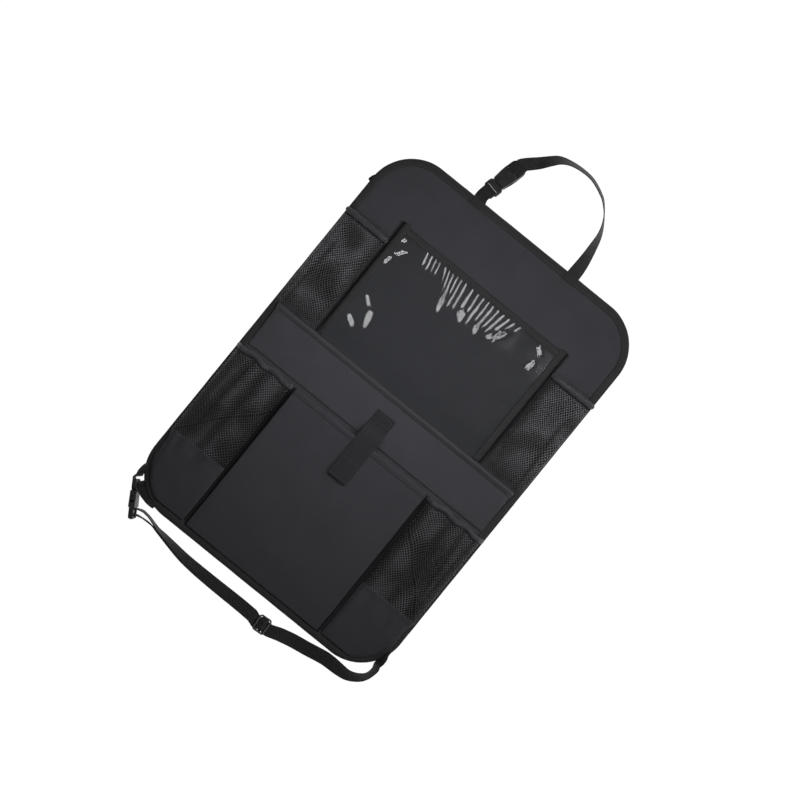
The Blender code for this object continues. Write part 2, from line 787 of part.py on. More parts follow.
def make_female_mesh():
    half = buckle_width / 2
    start = buckle_split
    slot_half = webbing_width / 2 + slot_margin
    end = buckle_length
    thick = buckle_thickness / 2
    outline = buckle_outline([(start, 0.0094), (start + 0.0012, 0.0100), (start + 0.006, 0.0106),
                              (start + 0.012, 0.0114), (start + 0.021, half), (start + 0.033, half - 0.0001),
                              (end - 0.0025, half - 0.0012), (end - 0.0008, half - 0.0022),
                              (end, half - 0.0040)])
    female = plate("female_source", outline, -thick, thick, buckle_plastic, cutters)
    round_edges(female, 0.0014)
    clear = 0.0024
    cavity = box("cavity", (start - 0.001, -0.0092, -clear), (start + 0.0188, 0.0092, clear))
    boolean(female, hide_cutter(cavity), "DIFFERENCE")
    windows = box("windows", (start + 0.0070, -0.02, -clear), (start + 0.0158, 0.02, clear))
    boolean(female, hide_cutter(windows), "DIFFERENCE")
    # Stepped webbing end, thinner than the body, with a slot on either side of its middle bar
    for sign in (-1, 1):
        step = box("end_step", (first_slot[0] - 0.0012, -0.02, sign * male_thickness / 2),
                   (buckle_length + 0.002, 0.02, sign * 0.01))
        boolean(female, hide_cutter(step), "DIFFERENCE")
        relief = box("end_relief", (first_slot[1] - 0.001, -slot_half, sign * bar_thickness / 2),
                     (buckle_length + 0.002, slot_half, sign * 0.01))
        boolean(female, hide_cutter(relief), "DIFFERENCE")
    for low, high in (first_slot, second_slot):
        slot = box("strap_slot", (low, -slot_half, -0.01), (high, slot_half, 0.01))
        boolean(female, hide_cutter(slot), "DIFFERENCE")
    return apply_modifiers(female)


def frame_point(frame, u, v, n):
    origin, along, across, face = frame
    return origin + along * u + across * v + face * n


def place_copy(source, name, frame):
    """A copy of a part modelled along +X, set into a frame of origin, length, width and face."""
    item = bpy.data.objects.new(name, source.data.copy())
    for vertex in item.data.vertices:
        vertex.co = frame_point(frame, vertex.co.x, -vertex.co.y, vertex.co.z)
    parts.objects.link(item)
    return item


def buckle_frame(start, end, tilt):
    """Frame of a buckle from its male end towards its female end, resting on the ground."""
    heading = atan2(end[1] - start[1], end[0] - start[0]) * 180 / pi
    height = resting_height(tilt, buckle_width, buckle_thickness)
    along, across, face = strap_axes(heading, tilt)
    return Vector((start[0], start[1], height)), along, across, face


def in_frame(frame, path, sign=1):
    """Stations of webbing that follows (length, height) points in the frame of a buckle or slide."""
    return [(frame_point(frame, u, 0.0, n), frame[2] * sign, frame[3]) for u, n in path]


wrap_lift = bar_thickness / 2 + webbing_thickness / 2 + seam_gap + 0.0002
wrap_side = webbing_thickness / 2 + seam_gap + 0.0005


def male_wrap(frame):
    """In over the male bar, down through its slot and back underneath."""
    turn = bar_length + wrap_side
    path = [(-0.0110, wrap_lift - 0.0012), (-0.0050, wrap_lift - 0.0002), (0.0, wrap_lift),
            (turn - 0.0018, wrap_lift), (turn - 0.0004, wrap_lift * 0.6), (turn, 0.0),
            (turn - 0.0004, -wrap_lift * 0.6), (turn - 0.0018, -wrap_lift), (0.0, -wrap_lift),
            (-0.0060, -wrap_lift + 0.0004)]
    return in_frame(frame, path)


def end_wrap(frame):
    """Under both bars of the female's end, up through its first slot and back over them."""
    turn = first_slot[1] - wrap_side
    path = [(buckle_length + 0.0065, -wrap_lift + 0.0004), (buckle_length, -wrap_lift),
            (turn + 0.0018, -wrap_lift), (turn + 0.0004, -wrap_lift * 0.6), (turn, 0.0),
            (turn + 0.0004, wrap_lift * 0.6), (turn + 0.0018, wrap_lift), (buckle_length, wrap_lift),
            (buckle_length + 0.0050, wrap_lift - 0.0002), (buckle_length + 0.0110, wrap_lift - 0.0012)]
    return in_frame(frame, path)


def middle_bar_wrap(frame, sign):
    """In through the female's first slot, behind its middle bar and out through the second."""
    first = first_slot[1] - wrap_side
    second = second_slot[0] + wrap_side
    path = [(first - 0.0004, 0.0060), (first, 0.0030), (first, 0.0),
            (first + 0.0004, -wrap_lift * 0.6), (first + 0.0018, -wrap_lift), (second - 0.0018, -wrap_lift),
            (second - 0.0004, -wrap_lift * 0.6), (second, 0.0), (second + 0.0002, 0.0030),
            (second + 0.0006, 0.0060)]
    return in_frame(frame, path, sign)


# Headrest loop

top_buckle = buckle_frame((-0.0787, half_height + 0.0170), (-0.0662, half_height + 0.0695), -14)
lay_on_panel = board_thickness + seam_gap + webbing_thickness / 2


def make_buckles():
    male = make_male_mesh()
    female = make_female_mesh()
    for name, frame in (("upper", top_buckle), ("lower", lower_buckle)):
        place_copy(male, name + "_buckle_male", frame)
        place_copy(female, name + "_buckle_female", frame)
    bpy.data.objects.remove(male)
    bpy.data.objects.remove(female)


def make_headrest_loop():
    """X, height above the panel's head, Z and tilt of each station."""
    stub = [(-0.0812, -0.0125, lay_on_panel, 0), (-0.0812, -0.0025, lay_on_panel, 0),
            (-0.0811, 0.0045, lay_on_panel + 0.0015, -6)]
    loop = [(-0.0535, 0.0855, None, -35), (-0.0420, 0.0990, None, -52), (-0.0300, 0.1077, None, -68),
            (-0.0180, 0.1127, None, -78), (0.0000, 0.1155, None, -84), (0.0200, 0.1145, None, -87),
            (0.0400, 0.1067, None, -90), (0.0500, 0.1003, None, -90), (0.0610, 0.0883, None, -88),
            (0.0690, 0.0750, None, -78), (0.0740, 0.0615, None, -66), (0.0765, 0.0465, None, -53),
            (0.0785, 0.0315, None, -40), (0.0797, 0.0165, 0.0062, -22),
            (0.0800, 0.0045, lay_on_panel + 0.0008, -6), (0.0800, -0.0025, lay_on_panel, 0),
            (0.0800, -0.0125, lay_on_panel, 0)]
    stub = [(x, half_height + y, z, tilt) for x, y, z, tilt in stub]
    loop = [(x, half_height + y, z, tilt) for x, y, z, tilt in loop]
    webbing("upper_strap_stub", free_run(stub)[:-1] + male_wrap(top_buckle))
    webbing("headrest_strap", end_wrap(top_buckle) + free_run(loop, 2))


# Seat-base strap: it keeps its shape at the panel's lower corners and stretches between them

reach = half_width - 0.074


def at_corner(side, rows):
    """Stations given by inset from the panel's side, height above its foot, Z and tilt."""
    return [(side * (half_width - inset), -half_height + y, z, tilt) for inset, y, z, tilt in rows]


def across_foot(rows):
    """Stations between the corners, given by share of the reach, height above the foot, Z and tilt."""
    return [(share * reach, -half_height + y, z, tilt) for share, y, z, tilt in rows]


buckle_start, buckle_end = at_corner(-1, [(0.0100, 0.0173, 0, 0), (0.0387, -0.0284, 0, 0)])
lower_buckle = buckle_frame(buckle_start, buckle_end, -84)
adjuster_frame = (Vector((0.3696 * reach, -half_height - 0.0287, 0.0104)), *strap_axes(4, -24))
layer_offset = webbing_thickness / 2 + 0.0002
doubled_thickness = 2 * webbing_thickness + 0.0004


def beside_edge(y):
    """X of a strap that stands on edge against the binding."""
    return inner_edge(y, -(seam_gap + webbing_thickness / 2 + 0.0001))


def seam_heights(*above_foot):
    return [-half_height + height for height in above_foot]


def make_lower_stub():
    """Webbing sewn on edge to the panel's left side, in through the male's slot and out as a loose tail."""
    seam = [(-beside_edge(y), y, None, -90) for y in seam_heights(0.0585, 0.0505, 0.0435, 0.0375)]
    seam += at_corner(-1, [(0.0064, 0.0305, 0.0112, -88), (0.0060, 0.0245, 0.0122, -86)])
    through = in_frame(lower_buckle, [(-0.0030, -0.0030), (0.0014, -wrap_lift), (0.0030, -wrap_lift),
                                      (0.0042, -0.0018), (0.0045, 0.0), (0.0046, 0.0018), (0.0056, 0.0052)])
    tail = at_corner(-1, [(0.0252, 0.0103, None, -84), (0.0330, 0.0060, None, -76),
                          (0.0420, 0.0005, None, -74), (0.0520, -0.0019, None, -76)])
    webbing("lower_strap_stub", free_run(seam, 2) + through + free_run(tail, 2))


def make_seat_base_strap():
    """From the panel's right side over the adjuster, round the female's bar and back to the adjuster."""
    right = [(beside_edge(y), y, None, 90) for y in seam_heights(0.0585, 0.0505)]
    right += at_corner(1, [(0.0002, 0.0425, None, 82), (0.0020, 0.0345, None, 74), (0.0035, 0.0265, None, 69),
                           (0.0050, 0.0165, None, 70), (0.0085, 0.0065, None, 68),
                           (0.0140, -0.0005, None, 62), (0.0220, -0.0060, None, 56),
                           (0.0320, -0.0098, None, 45), (0.0470, -0.0108, None, 27),
                           (0.0670, -0.0115, None, 10)])
    right += across_foot([(0.870, -0.0163, None, 6), (0.688, -0.0205, 0.0034, 10),
                          (0.551, -0.0250, 0.0062, 19)])
    over_adjuster = [(0.0125, -0.0032), (0.0086, -0.0030), (0.0063, -0.0027), (0.0051, -0.0009),
                     (0.0048, 0.0008), (0.0040, 0.0030), (0.0024, 0.0043), (0.0, 0.0046), (-0.0024, 0.0043),
                     (-0.0040, 0.0030), (-0.0048, 0.0008), (-0.0051, -0.0009), (-0.0063, -0.0027),
                     (-0.0086, -0.0030)]
    doubled = free_run(across_foot([(0.239, -0.0277, 0.0066, 27), (0.145, -0.0272, None, 29),
                                    (0.0, -0.0270, None, 31), (-0.217, -0.0271, None, 36),
                                    (-0.435, -0.0267, None, 43), (-0.616, -0.0255, None, 52),
                                    (-0.761, -0.0229, None, 62), (-0.884, -0.0203, None, 72),
                                    (-1.0, -0.0181, None, 82)]), 2)
    for index, (centre, across, face) in enumerate(doubled):
        thick = Vector((0.0, 0.0, abs(face.z) * (doubled_thickness - webbing_thickness) / 2))
        doubled[index] = (centre + thick * (index > 0), across, face)
    upper = [(centre + face * layer_offset, across) for centre, across, face in doubled]
    lower = [(centre - face * layer_offset, across) for centre, across, face in reversed(doubled)]
    into_buckle = free_run(at_corner(-1, [(0.0640, -0.0143, None, 86), (0.0540, -0.0115, 0.0110, 88),
                                          (0.0440, -0.0107, 0.0120, 87)]), 2)
    from_buckle = free_run(at_corner(-1, [(0.0480, -0.0187, 0.0122, 87), (0.0570, -0.0181, 0.0114, 88),
                                          (0.0660, -0.0187, None, 86)]), 2)
    round_bar = [(-0.0086, -0.0048), (-0.0060, -0.0046), (-0.0040, -0.0035), (-0.0029, -0.0018),
                 (-0.0027, -0.0004), (-0.0027, 0.0015), (-0.0018, 0.0027), (0.0, 0.0028), (0.0018, 0.0027),
                 (0.0027, 0.0015), (0.0027, -0.0013), (0.0018, -0.0026), (0.0004, -0.0028)]
    stations = free_run(right, 2) + in_frame(adjuster_frame, over_adjuster, -1) + upper + into_buckle
    stations += middle_bar_wrap(lower_buckle, -1) + from_buckle + lower
    webbing("seat_base_strap", stations + in_frame(adjuster_frame, round_bar, -1))


def make_adjuster():
    """A three-bar slide: a plate with a slot on either side of its middle bar."""
    half_length, half_across = adjuster_length / 2, adjuster_width / 2
    cut = 0.0025
    outline = [(-half_length + cut, -half_across), (half_length - cut, -half_across),
               (half_length, -half_across + cut), (half_length, half_across - cut),
               (half_length - cut, half_across), (-half_length + cut, half_across),
               (-half_length, half_across - cut), (-half_length, -half_across + cut)]
    thick = adjuster_thickness / 2
    body = plate("adjuster_source", outline, -thick, thick, buckle_plastic, cutters)
    round_edges(body, 0.0006)
    slot_half = webbing_width / 2 + slot_margin
    rim = 0.0026
    for sign in (-1, 1):
        low, high = sorted((sign * adjuster_bar / 2, sign * (half_length - rim)))
        slot = box("adjuster_slot", (low, -slot_half, -0.01), (high, slot_half, 0.01))
        boolean(body, hide_cutter(slot), "DIFFERENCE")
    place_copy(apply_modifiers(body), "strap_adjuster", adjuster_frame)
    bpy.data.objects.remove(body)


def make_parts():
    make_panel()
    make_edge_binding()
    make_tablet_pocket()
    for side, name in ((-1, "left"), (1, "right")):
        make_upper_net(side, name)
        make_lower_net(side, name)
        make_lower_base(side, name)
    make_band()
    make_magazine_pocket()
    make_closure_tab()
    make_buckles()
    make_headrest_loop()
    make_lower_stub()
    make_seat_base_strap()
    make_adjuster()


make_parts()
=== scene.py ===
import json
from math import atan2, cos, exp, hypot, pi, radians, sin, sqrt

import bmesh
import bpy
import numpy as np
from mathutils import Vector, noise
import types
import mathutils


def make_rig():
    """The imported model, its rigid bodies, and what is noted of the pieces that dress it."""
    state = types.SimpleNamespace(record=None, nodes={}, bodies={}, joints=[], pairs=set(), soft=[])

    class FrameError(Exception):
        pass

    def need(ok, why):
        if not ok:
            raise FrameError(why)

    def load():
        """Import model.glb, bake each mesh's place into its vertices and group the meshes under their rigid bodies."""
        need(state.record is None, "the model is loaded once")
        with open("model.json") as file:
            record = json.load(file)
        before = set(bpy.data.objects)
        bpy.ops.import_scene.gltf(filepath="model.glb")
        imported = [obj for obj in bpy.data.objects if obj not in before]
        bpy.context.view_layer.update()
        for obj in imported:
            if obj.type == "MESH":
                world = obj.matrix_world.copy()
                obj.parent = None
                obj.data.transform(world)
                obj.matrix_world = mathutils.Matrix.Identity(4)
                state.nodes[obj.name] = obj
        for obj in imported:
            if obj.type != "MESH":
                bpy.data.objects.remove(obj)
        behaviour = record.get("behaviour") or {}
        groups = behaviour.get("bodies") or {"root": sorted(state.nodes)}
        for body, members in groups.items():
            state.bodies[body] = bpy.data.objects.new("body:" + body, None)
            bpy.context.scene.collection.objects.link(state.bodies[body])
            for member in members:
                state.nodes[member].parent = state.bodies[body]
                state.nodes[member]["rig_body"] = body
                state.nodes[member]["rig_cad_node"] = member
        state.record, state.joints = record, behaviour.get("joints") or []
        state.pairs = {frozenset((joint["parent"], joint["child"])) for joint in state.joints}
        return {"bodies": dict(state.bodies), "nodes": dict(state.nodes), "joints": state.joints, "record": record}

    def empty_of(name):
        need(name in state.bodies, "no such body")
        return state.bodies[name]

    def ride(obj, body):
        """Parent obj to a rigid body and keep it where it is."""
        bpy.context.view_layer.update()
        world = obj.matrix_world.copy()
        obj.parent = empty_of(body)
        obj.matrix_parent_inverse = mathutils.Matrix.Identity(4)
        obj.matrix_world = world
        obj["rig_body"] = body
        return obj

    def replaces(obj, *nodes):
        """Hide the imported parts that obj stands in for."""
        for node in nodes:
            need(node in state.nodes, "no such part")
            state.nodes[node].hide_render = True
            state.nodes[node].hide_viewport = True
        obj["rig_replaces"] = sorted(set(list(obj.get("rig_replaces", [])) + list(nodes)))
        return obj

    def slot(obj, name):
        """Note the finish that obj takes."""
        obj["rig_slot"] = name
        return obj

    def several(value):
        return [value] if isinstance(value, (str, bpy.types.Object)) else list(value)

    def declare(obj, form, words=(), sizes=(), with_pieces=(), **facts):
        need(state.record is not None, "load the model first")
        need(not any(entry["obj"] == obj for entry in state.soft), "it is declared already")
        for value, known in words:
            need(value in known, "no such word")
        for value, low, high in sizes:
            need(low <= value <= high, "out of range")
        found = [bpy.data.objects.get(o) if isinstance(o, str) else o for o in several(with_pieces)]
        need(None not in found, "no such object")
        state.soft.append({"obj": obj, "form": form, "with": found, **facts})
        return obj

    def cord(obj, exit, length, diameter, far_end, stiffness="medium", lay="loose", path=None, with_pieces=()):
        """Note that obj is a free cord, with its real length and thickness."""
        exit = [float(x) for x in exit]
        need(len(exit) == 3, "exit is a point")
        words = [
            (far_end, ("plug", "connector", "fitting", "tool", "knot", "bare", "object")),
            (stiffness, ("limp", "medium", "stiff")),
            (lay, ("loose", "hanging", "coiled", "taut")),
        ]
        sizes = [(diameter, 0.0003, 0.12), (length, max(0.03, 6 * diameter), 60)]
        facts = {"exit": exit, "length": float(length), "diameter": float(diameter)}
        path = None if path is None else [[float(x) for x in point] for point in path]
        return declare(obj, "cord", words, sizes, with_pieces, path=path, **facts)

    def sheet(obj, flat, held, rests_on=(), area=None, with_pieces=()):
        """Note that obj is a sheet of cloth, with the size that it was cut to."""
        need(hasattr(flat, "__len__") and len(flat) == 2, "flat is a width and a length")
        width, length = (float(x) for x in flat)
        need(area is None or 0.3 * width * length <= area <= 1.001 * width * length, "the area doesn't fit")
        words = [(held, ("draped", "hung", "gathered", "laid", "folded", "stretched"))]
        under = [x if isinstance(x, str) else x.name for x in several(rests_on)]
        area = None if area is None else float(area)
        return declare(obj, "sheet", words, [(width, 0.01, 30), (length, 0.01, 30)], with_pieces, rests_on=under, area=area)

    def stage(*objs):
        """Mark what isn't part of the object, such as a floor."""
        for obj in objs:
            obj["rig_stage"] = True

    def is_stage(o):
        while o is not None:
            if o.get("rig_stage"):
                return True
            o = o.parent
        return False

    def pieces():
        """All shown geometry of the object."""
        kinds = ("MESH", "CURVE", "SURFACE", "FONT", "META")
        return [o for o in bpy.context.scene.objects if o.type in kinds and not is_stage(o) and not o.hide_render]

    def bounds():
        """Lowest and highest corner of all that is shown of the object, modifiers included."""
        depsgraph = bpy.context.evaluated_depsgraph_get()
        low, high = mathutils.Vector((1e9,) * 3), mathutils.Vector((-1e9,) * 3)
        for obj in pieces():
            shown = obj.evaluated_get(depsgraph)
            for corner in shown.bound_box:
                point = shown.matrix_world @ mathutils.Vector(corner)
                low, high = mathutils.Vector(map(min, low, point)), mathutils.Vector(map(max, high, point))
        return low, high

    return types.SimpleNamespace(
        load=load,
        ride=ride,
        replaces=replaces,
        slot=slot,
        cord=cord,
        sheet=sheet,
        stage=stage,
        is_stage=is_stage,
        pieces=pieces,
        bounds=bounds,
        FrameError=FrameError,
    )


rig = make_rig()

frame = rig.load()
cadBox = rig.bounds()
print("packed model loaded")


# small helpers for nodes; a socket knows the tree it is in

def feed(item, inputs):
    for key, value in inputs.items():
        if isinstance(value, bpy.types.NodeSocket):
            value.id_data.links.new(value, item.inputs[key])
        else:
            item.inputs[key].default_value = value


def addNode(tree, kind, inputs=None, **settings):
    item = tree.nodes.new(kind)
    for key, value in settings.items():
        setattr(item, key, value)
    feed(item, inputs or {})
    return item


def calc(operation, *values):
    tree = next(value.id_data for value in values if isinstance(value, bpy.types.NodeSocket))
    return addNode(tree, "ShaderNodeMath", dict(enumerate(values)), operation=operation).outputs[0]


def times(first, second):
    return calc("MULTIPLY", first, second)


def spread(value, factor, offset):
    return calc("MULTIPLY_ADD", value, factor, offset)


def mixFloat(share, first, second):
    inputs = {0: share, 2: first, 3: second}
    return addNode(share.id_data, "ShaderNodeMix", inputs, data_type="FLOAT").outputs[0]


def stretch(value, low, high, newLow, newHigh):
    inputs = {0: value, 1: low, 2: high, 3: newLow, 4: newHigh}
    return addNode(value.id_data, "ShaderNodeMapRange", inputs).outputs[0]


def startMaterial(name):
    material = bpy.data.materials.new(name)
    material.use_nodes = True
    return material, material.node_tree, material.node_tree.nodes["Principled BSDF"]


def flatCoords(tree):
    return addNode(tree, "ShaderNodeUVMap", uv_map="flat").outputs[0]


def objectCoords(tree):
    return addNode(tree, "ShaderNodeTexCoord").outputs["Object"]


def attribute(tree, name):
    return addNode(tree, "ShaderNodeAttribute", attribute_name=name).outputs["Fac"]


def noiseValue(coords, scale, detail=2.0, roughness=0.5):
    inputs = {"Vector": coords, "Scale": scale, "Detail": detail, "Roughness": roughness}
    return addNode(coords.id_data, "ShaderNodeTexNoise", inputs).outputs[0]


def setBump(shader, height, distance, strength=1.0):
    inputs = {"Height": height, "Distance": distance, "Strength": strength}
    feed(shader, {"Normal": addNode(height.id_data, "ShaderNodeBump", inputs).outputs[0]})


def setSurface(shader, colour, tone, roughness, shine, sheen):
    # colour is what shows at a tone of 1
    twice = tuple(2 * part for part in colour) + (1,)
    inputs = {0: times(tone, 0.5), 6: (0, 0, 0, 1), 7: twice}
    paint = addNode(tone.id_data, "ShaderNodeMix", inputs, data_type="RGBA").outputs[2]
    feed(shader, {"Base Color": paint, "Roughness": roughness, "Specular IOR Level": shine,
        "Sheen Weight": sheen})


def blendShaders(tree, share, first, second):
    mix = addNode(tree, "ShaderNodeMixShader", {0: share, 1: first.outputs[0], 2: second.outputs[0]})
    feed(tree.nodes["Material Output"], {0: mix.outputs[0]})


# finishes

def makeFabric(name, colour, roughness, shine, sheen, cloud, slub, pitch=0.0006, depth=0.00012):
    # plain weave, its warp and weft take turns on top; the attribute read below is painted shade, which darkens the
    # cloth behind the net pockets and beside the magazine pocket
    material, tree, shader = startMaterial(name)
    coords = flatCoords(tree)
    parts = addNode(tree, "ShaderNodeSeparateXYZ", {0: coords}).outputs
    warp, weft = (calc("SINE", times(part, pi / pitch)) for part in parts[:2])
    turn = stretch(times(warp, weft), -0.25, 0.25, 0.0, 1.0)
    weave = mixFloat(turn, calc("ABSOLUTE", warp), calc("ABSOLUTE", weft))
    knots = noiseValue(coords, 900.0, 3.0, 0.6)
    tone = spread(noiseValue(coords, 22.0, 3.0, 0.55), cloud, 1.0 - cloud * 0.5)
    tone = times(tone, spread(knots, slub, 1.0 - slub * 0.5))
    tone = times(tone, spread(weave, 0.35, 0.8))
    tone = times(tone, spread(attribute(tree, "netShade"), -0.92, 1.0))
    setSurface(shader, colour, tone, spread(knots, 0.16, roughness - 0.08), shine, sheen)
    feed(shader, {"Sheen Roughness": 0.45})
    setBump(shader, spread(knots, 0.8, weave), depth)
    return material


def makeRibbed(name, colour, roughness, shine, sheen, rib, thread, depth):
    # tape and webbing: ribs across the length, threads along it
    material, tree, shader = startMaterial(name)
    coords = flatCoords(tree)
    parts = addNode(tree, "ShaderNodeSeparateXYZ", {0: coords}).outputs
    ribs = calc("ABSOLUTE", calc("SINE", times(parts[0], pi / rib)))
    threads = calc("SINE", times(parts[1], 2 * pi / thread))
    slant = calc("SINE", spread(threads, 0.9, times(parts[0], 2 * pi / rib)))
    slub = noiseValue(coords, 700.0, 2.0, 0.6)
    tone = times(spread(ribs, 0.5, 0.7), spread(slub, 0.5, 0.75))
    tone = times(tone, spread(noiseValue(coords, 30.0), 0.3, 0.85))
    setSurface(shader, colour, tone, spread(slub, 0.2, roughness - 0.1), shine, sheen)
    setBump(shader, spread(slant, 0.3, spread(threads, 0.25, ribs)), depth)
    return material


def makeStrand(name, colour, roughness, shine):
    # twisted yarn of the nets and stitches; the attribute fold is painted shade, which darkens the yarn in the nets'
    # folds and shaded patches
    material, tree, shader = startMaterial(name)
    coords = objectCoords(tree)
    fibre = noiseValue(coords, 2600.0)
    tone = times(spread(fibre, 0.7, 0.65), spread(noiseValue(coords, 45.0), 1.1, 0.45))
    tone = times(tone, spread(attribute(tree, "fold"), -0.85, 1.0))
    setSurface(shader, colour, tone, spread(fibre, 0.25, roughness - 0.12), shine, 0.1)
    setBump(shader, fibre, 0.00012)
    return material


def makePlastic(name, colour):
    # moulded acetal: fine spark-eroded grain, slightly worn to gloss
    material, tree, shader = startMaterial(name)
    coords = objectCoords(tree)
    wear = noiseValue(coords, 160.0, 4.0, 0.6)
    setSurface(shader, colour, spread(wear, 0.5, 0.75), stretch(wear, 0.35, 0.7, 0.38, 0.54), 0.5, 0.0)
    setBump(shader, noiseValue(coords, 3200.0, 3.0, 0.6), 0.00005, 0.7)
    return material


def makeHookLoop(name, colour):
    # felted face with a fine, uneven nap
    material, tree, shader = startMaterial(name)
    coords = objectCoords(tree)
    nap = noiseValue(coords, 1500.0, 4.0, 0.7)
    tuft = addNode(tree, "ShaderNodeTexVoronoi", {"Vector": coords, "Scale": 900.0}).outputs[0]
    setSurface(shader, colour, spread(nap, 0.9, 0.55), 0.9, 0.1, 0.15)
    setBump(shader, calc("ADD", nap, tuft), 0.0004)
    return material


def makeFilm(name, colour):
    # clear vinyl: nearly invisible head on, and it mirrors the lamps where it creases
    material, tree, shader = startMaterial(name)
    coords = objectCoords(tree)
    haze = stretch(noiseValue(coords, 40.0, 4.0, 0.6), 0.35, 0.7, 0.07, 0.13)
    feed(shader, {"Base Color": (*colour, 1), "Specular IOR Level": 1.0, "Roughness": haze})
    setBump(shader, noiseValue(coords, 420.0), 0.00004, 0.5)
    facing = addNode(tree, "ShaderNodeLayerWeight", {"Blend": 0.25}).outputs["Fresnel"]
    blendShaders(tree, spread(facing, 0.5, 0.35), addNode(tree, "ShaderNodeBsdfTransparent"), shader)
    return material


panelCloth = makeFabric("panelCloth", (0.0315, 0.0306, 0.037), 0.72, 0.25, 0.12, cloud=0.44, slub=0.55)
pocketCloth = makeFabric("pocketCloth", (0.035, 0.034, 0.041), 0.66, 0.32, 0.15, cloud=0.3, slub=0.5)
# painted shade: a darker copy of the pocket cloth for the magazine pocket and the lower bases, for the light falling
# off toward the panel's foot
footCloth = makeFabric("footCloth", (0.03, 0.0291, 0.0352), 0.7, 0.25, 0.12, cloud=0.36, slub=0.5)
# painted shade: a near-black copy of the cloth, put in folds and gaps where shade falls
gussetCloth = makeFabric("gussetCloth", (0.008, 0.008, 0.01), 0.85, 0.1, 0.0, cloud=0.2, slub=0.3,
    depth=0.0001)
bindingTape = makeRibbed("bindingTape", (0.0185, 0.0185, 0.0195), 0.7, 0.25, 0.1, 0.0011, 0.0013, 0.00018)
elasticTape = makeRibbed("elasticTape", (0.021, 0.02, 0.024), 0.52, 0.45, 0.15, 0.0008, 0.0012, 0.00012)
# one webbing in two tones: the loop's copy is lighter, painted light for the light that falls on the top strap
strapWeb = makeRibbed("strapWeb", (0.0046, 0.0046, 0.0049), 0.62, 0.3, 0.08, 0.0016, 0.0021, 0.0003)
loopWeb = makeRibbed("loopWeb", (0.0095, 0.0095, 0.01), 0.58, 0.35, 0.1, 0.0016, 0.0021, 0.0003)
netYarn = makeStrand("netYarn", (0.13, 0.126, 0.137), 0.44, 0.5)
seamThread = makeStrand("seamThread", (0.036, 0.035, 0.039), 0.5, 0.4)
satinPlastic = makePlastic("satinPlastic", (0.018, 0.018, 0.019))
clearFilm = makeFilm("clearFilm", (0.044, 0.047, 0.052))
hookLoop = makeHookLoop("hookLoop", (0.022, 0.021, 0.025))
print("finishes made")


# camera, straight above, and the pale studio

view = {"centre": (0.0049, 0.0225), "turn": 39.07, "distance": 2.983, "lens": 100.0}
studio = {"floor": (0.9, 0.9, 0.9, 1), "glow": 1.07, "glowShare": 0.93, "worldLight": 0.07}


def addToScene(name, data):
    item = bpy.data.objects.new(name, data)
    bpy.context.scene.collection.objects.link(item)
    return item


def makeCamera():
    data = bpy.data.cameras.new("camera")
    data.lens, data.sensor_width, data.clip_end = view["lens"], 36.0, 60.0
    item = addToScene("camera", data)
    item.location = (*view["centre"], view["distance"])
    item.rotation_euler = (0.0, 0.0, radians(view["turn"]))
    bpy.context.scene.camera = item


def makeLamp(name, place, target, size, power, mirrored=True, lights=True):
    data = bpy.data.lights.new(name, "AREA")
    data.shape = "RECTANGLE"
    data.size = data.size_y = size
    data.energy = power
    item = addToScene(name, data)
    item.location = place
    item.rotation_euler = (Vector(target) - Vector(place)).to_track_quat("-Z", "Y").to_euler()
    item.visible_camera = False
    item.visible_glossy = mirrored
    item.visible_diffuse = lights


def makeStudio():
    # camera, mirror and glass rays see plain white
    world = bpy.data.worlds.new("studio")
    bpy.context.scene.world = world
    world.use_nodes = True
    seen = addNode(world.node_tree, "ShaderNodeLightPath").outputs["Is Camera Ray"]
    strength = mixFloat(seen, studio["worldLight"], 1.0)
    feed(world.node_tree.nodes["Background"], {0: (1, 1, 1, 1), 1: strength})

    material, tree, shader = startMaterial("studioFloor")
    feed(shader, {"Base Color": studio["floor"], "Roughness": 1.0, "Specular IOR Level": 0.0})
    glow = addNode(tree, "ShaderNodeEmission", {"Color": (1, 1, 1, 1), "Strength": studio["glow"]})
    path = addNode(tree, "ShaderNodeLightPath").outputs
    seen = calc("MAXIMUM", path["Is Camera Ray"], path["Is Glossy Ray"])
    seen = calc("MAXIMUM", seen, path["Is Transmission Ray"])
    blendShaders(tree, times(seen, studio["glowShare"]), shader, glow)
    bm = bmesh.new()
    bmesh.ops.create_grid(bm, x_segments=8, y_segments=8, size=7.0)
    bmesh.ops.translate(bm, vec=(0, 0, -0.0004), verts=bm.verts)
    mesh = bpy.data.meshes.new("studioFloor")
    bm.to_mesh(mesh)
    bm.free()
    mesh.materials.append(material)
    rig.stage(addToScene("studioFloor", mesh))
    makeLamp("keyLamp", (0.7, 0.56, 0.8), (0.05, 0.08, 0.0), 0.45, 5.0)
    makeLamp("softLamp", (-0.03, 0.08, 0.42), (-0.03, 0.08, 0.0), 0.35, 1.65, mirrored=False)
    makeLamp("glintLamp", (0.795, 0.587, 2.5), (0.0, 0.17, 0.0), 0.92, 31.0, lights=False)


makeCamera()
makeStudio()
bpy.context.scene.view_settings.view_transform = "Standard"
print("camera and lamps set")


# meshes

def makeObject(name, mesh, material, nodes=(), slot=None):
    item = addToScene(name, mesh)
    mesh.materials.append(material)
    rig.ride(item, "root")
    if nodes:
        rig.replaces(item, *nodes)
    if slot:
        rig.slot(item, slot)
    return item


def runLength(points):
    # distance run at each point of a polyline
    return np.concatenate([[0.0], np.cumsum(np.linalg.norm(np.diff(points, axis=0), axis=1))])


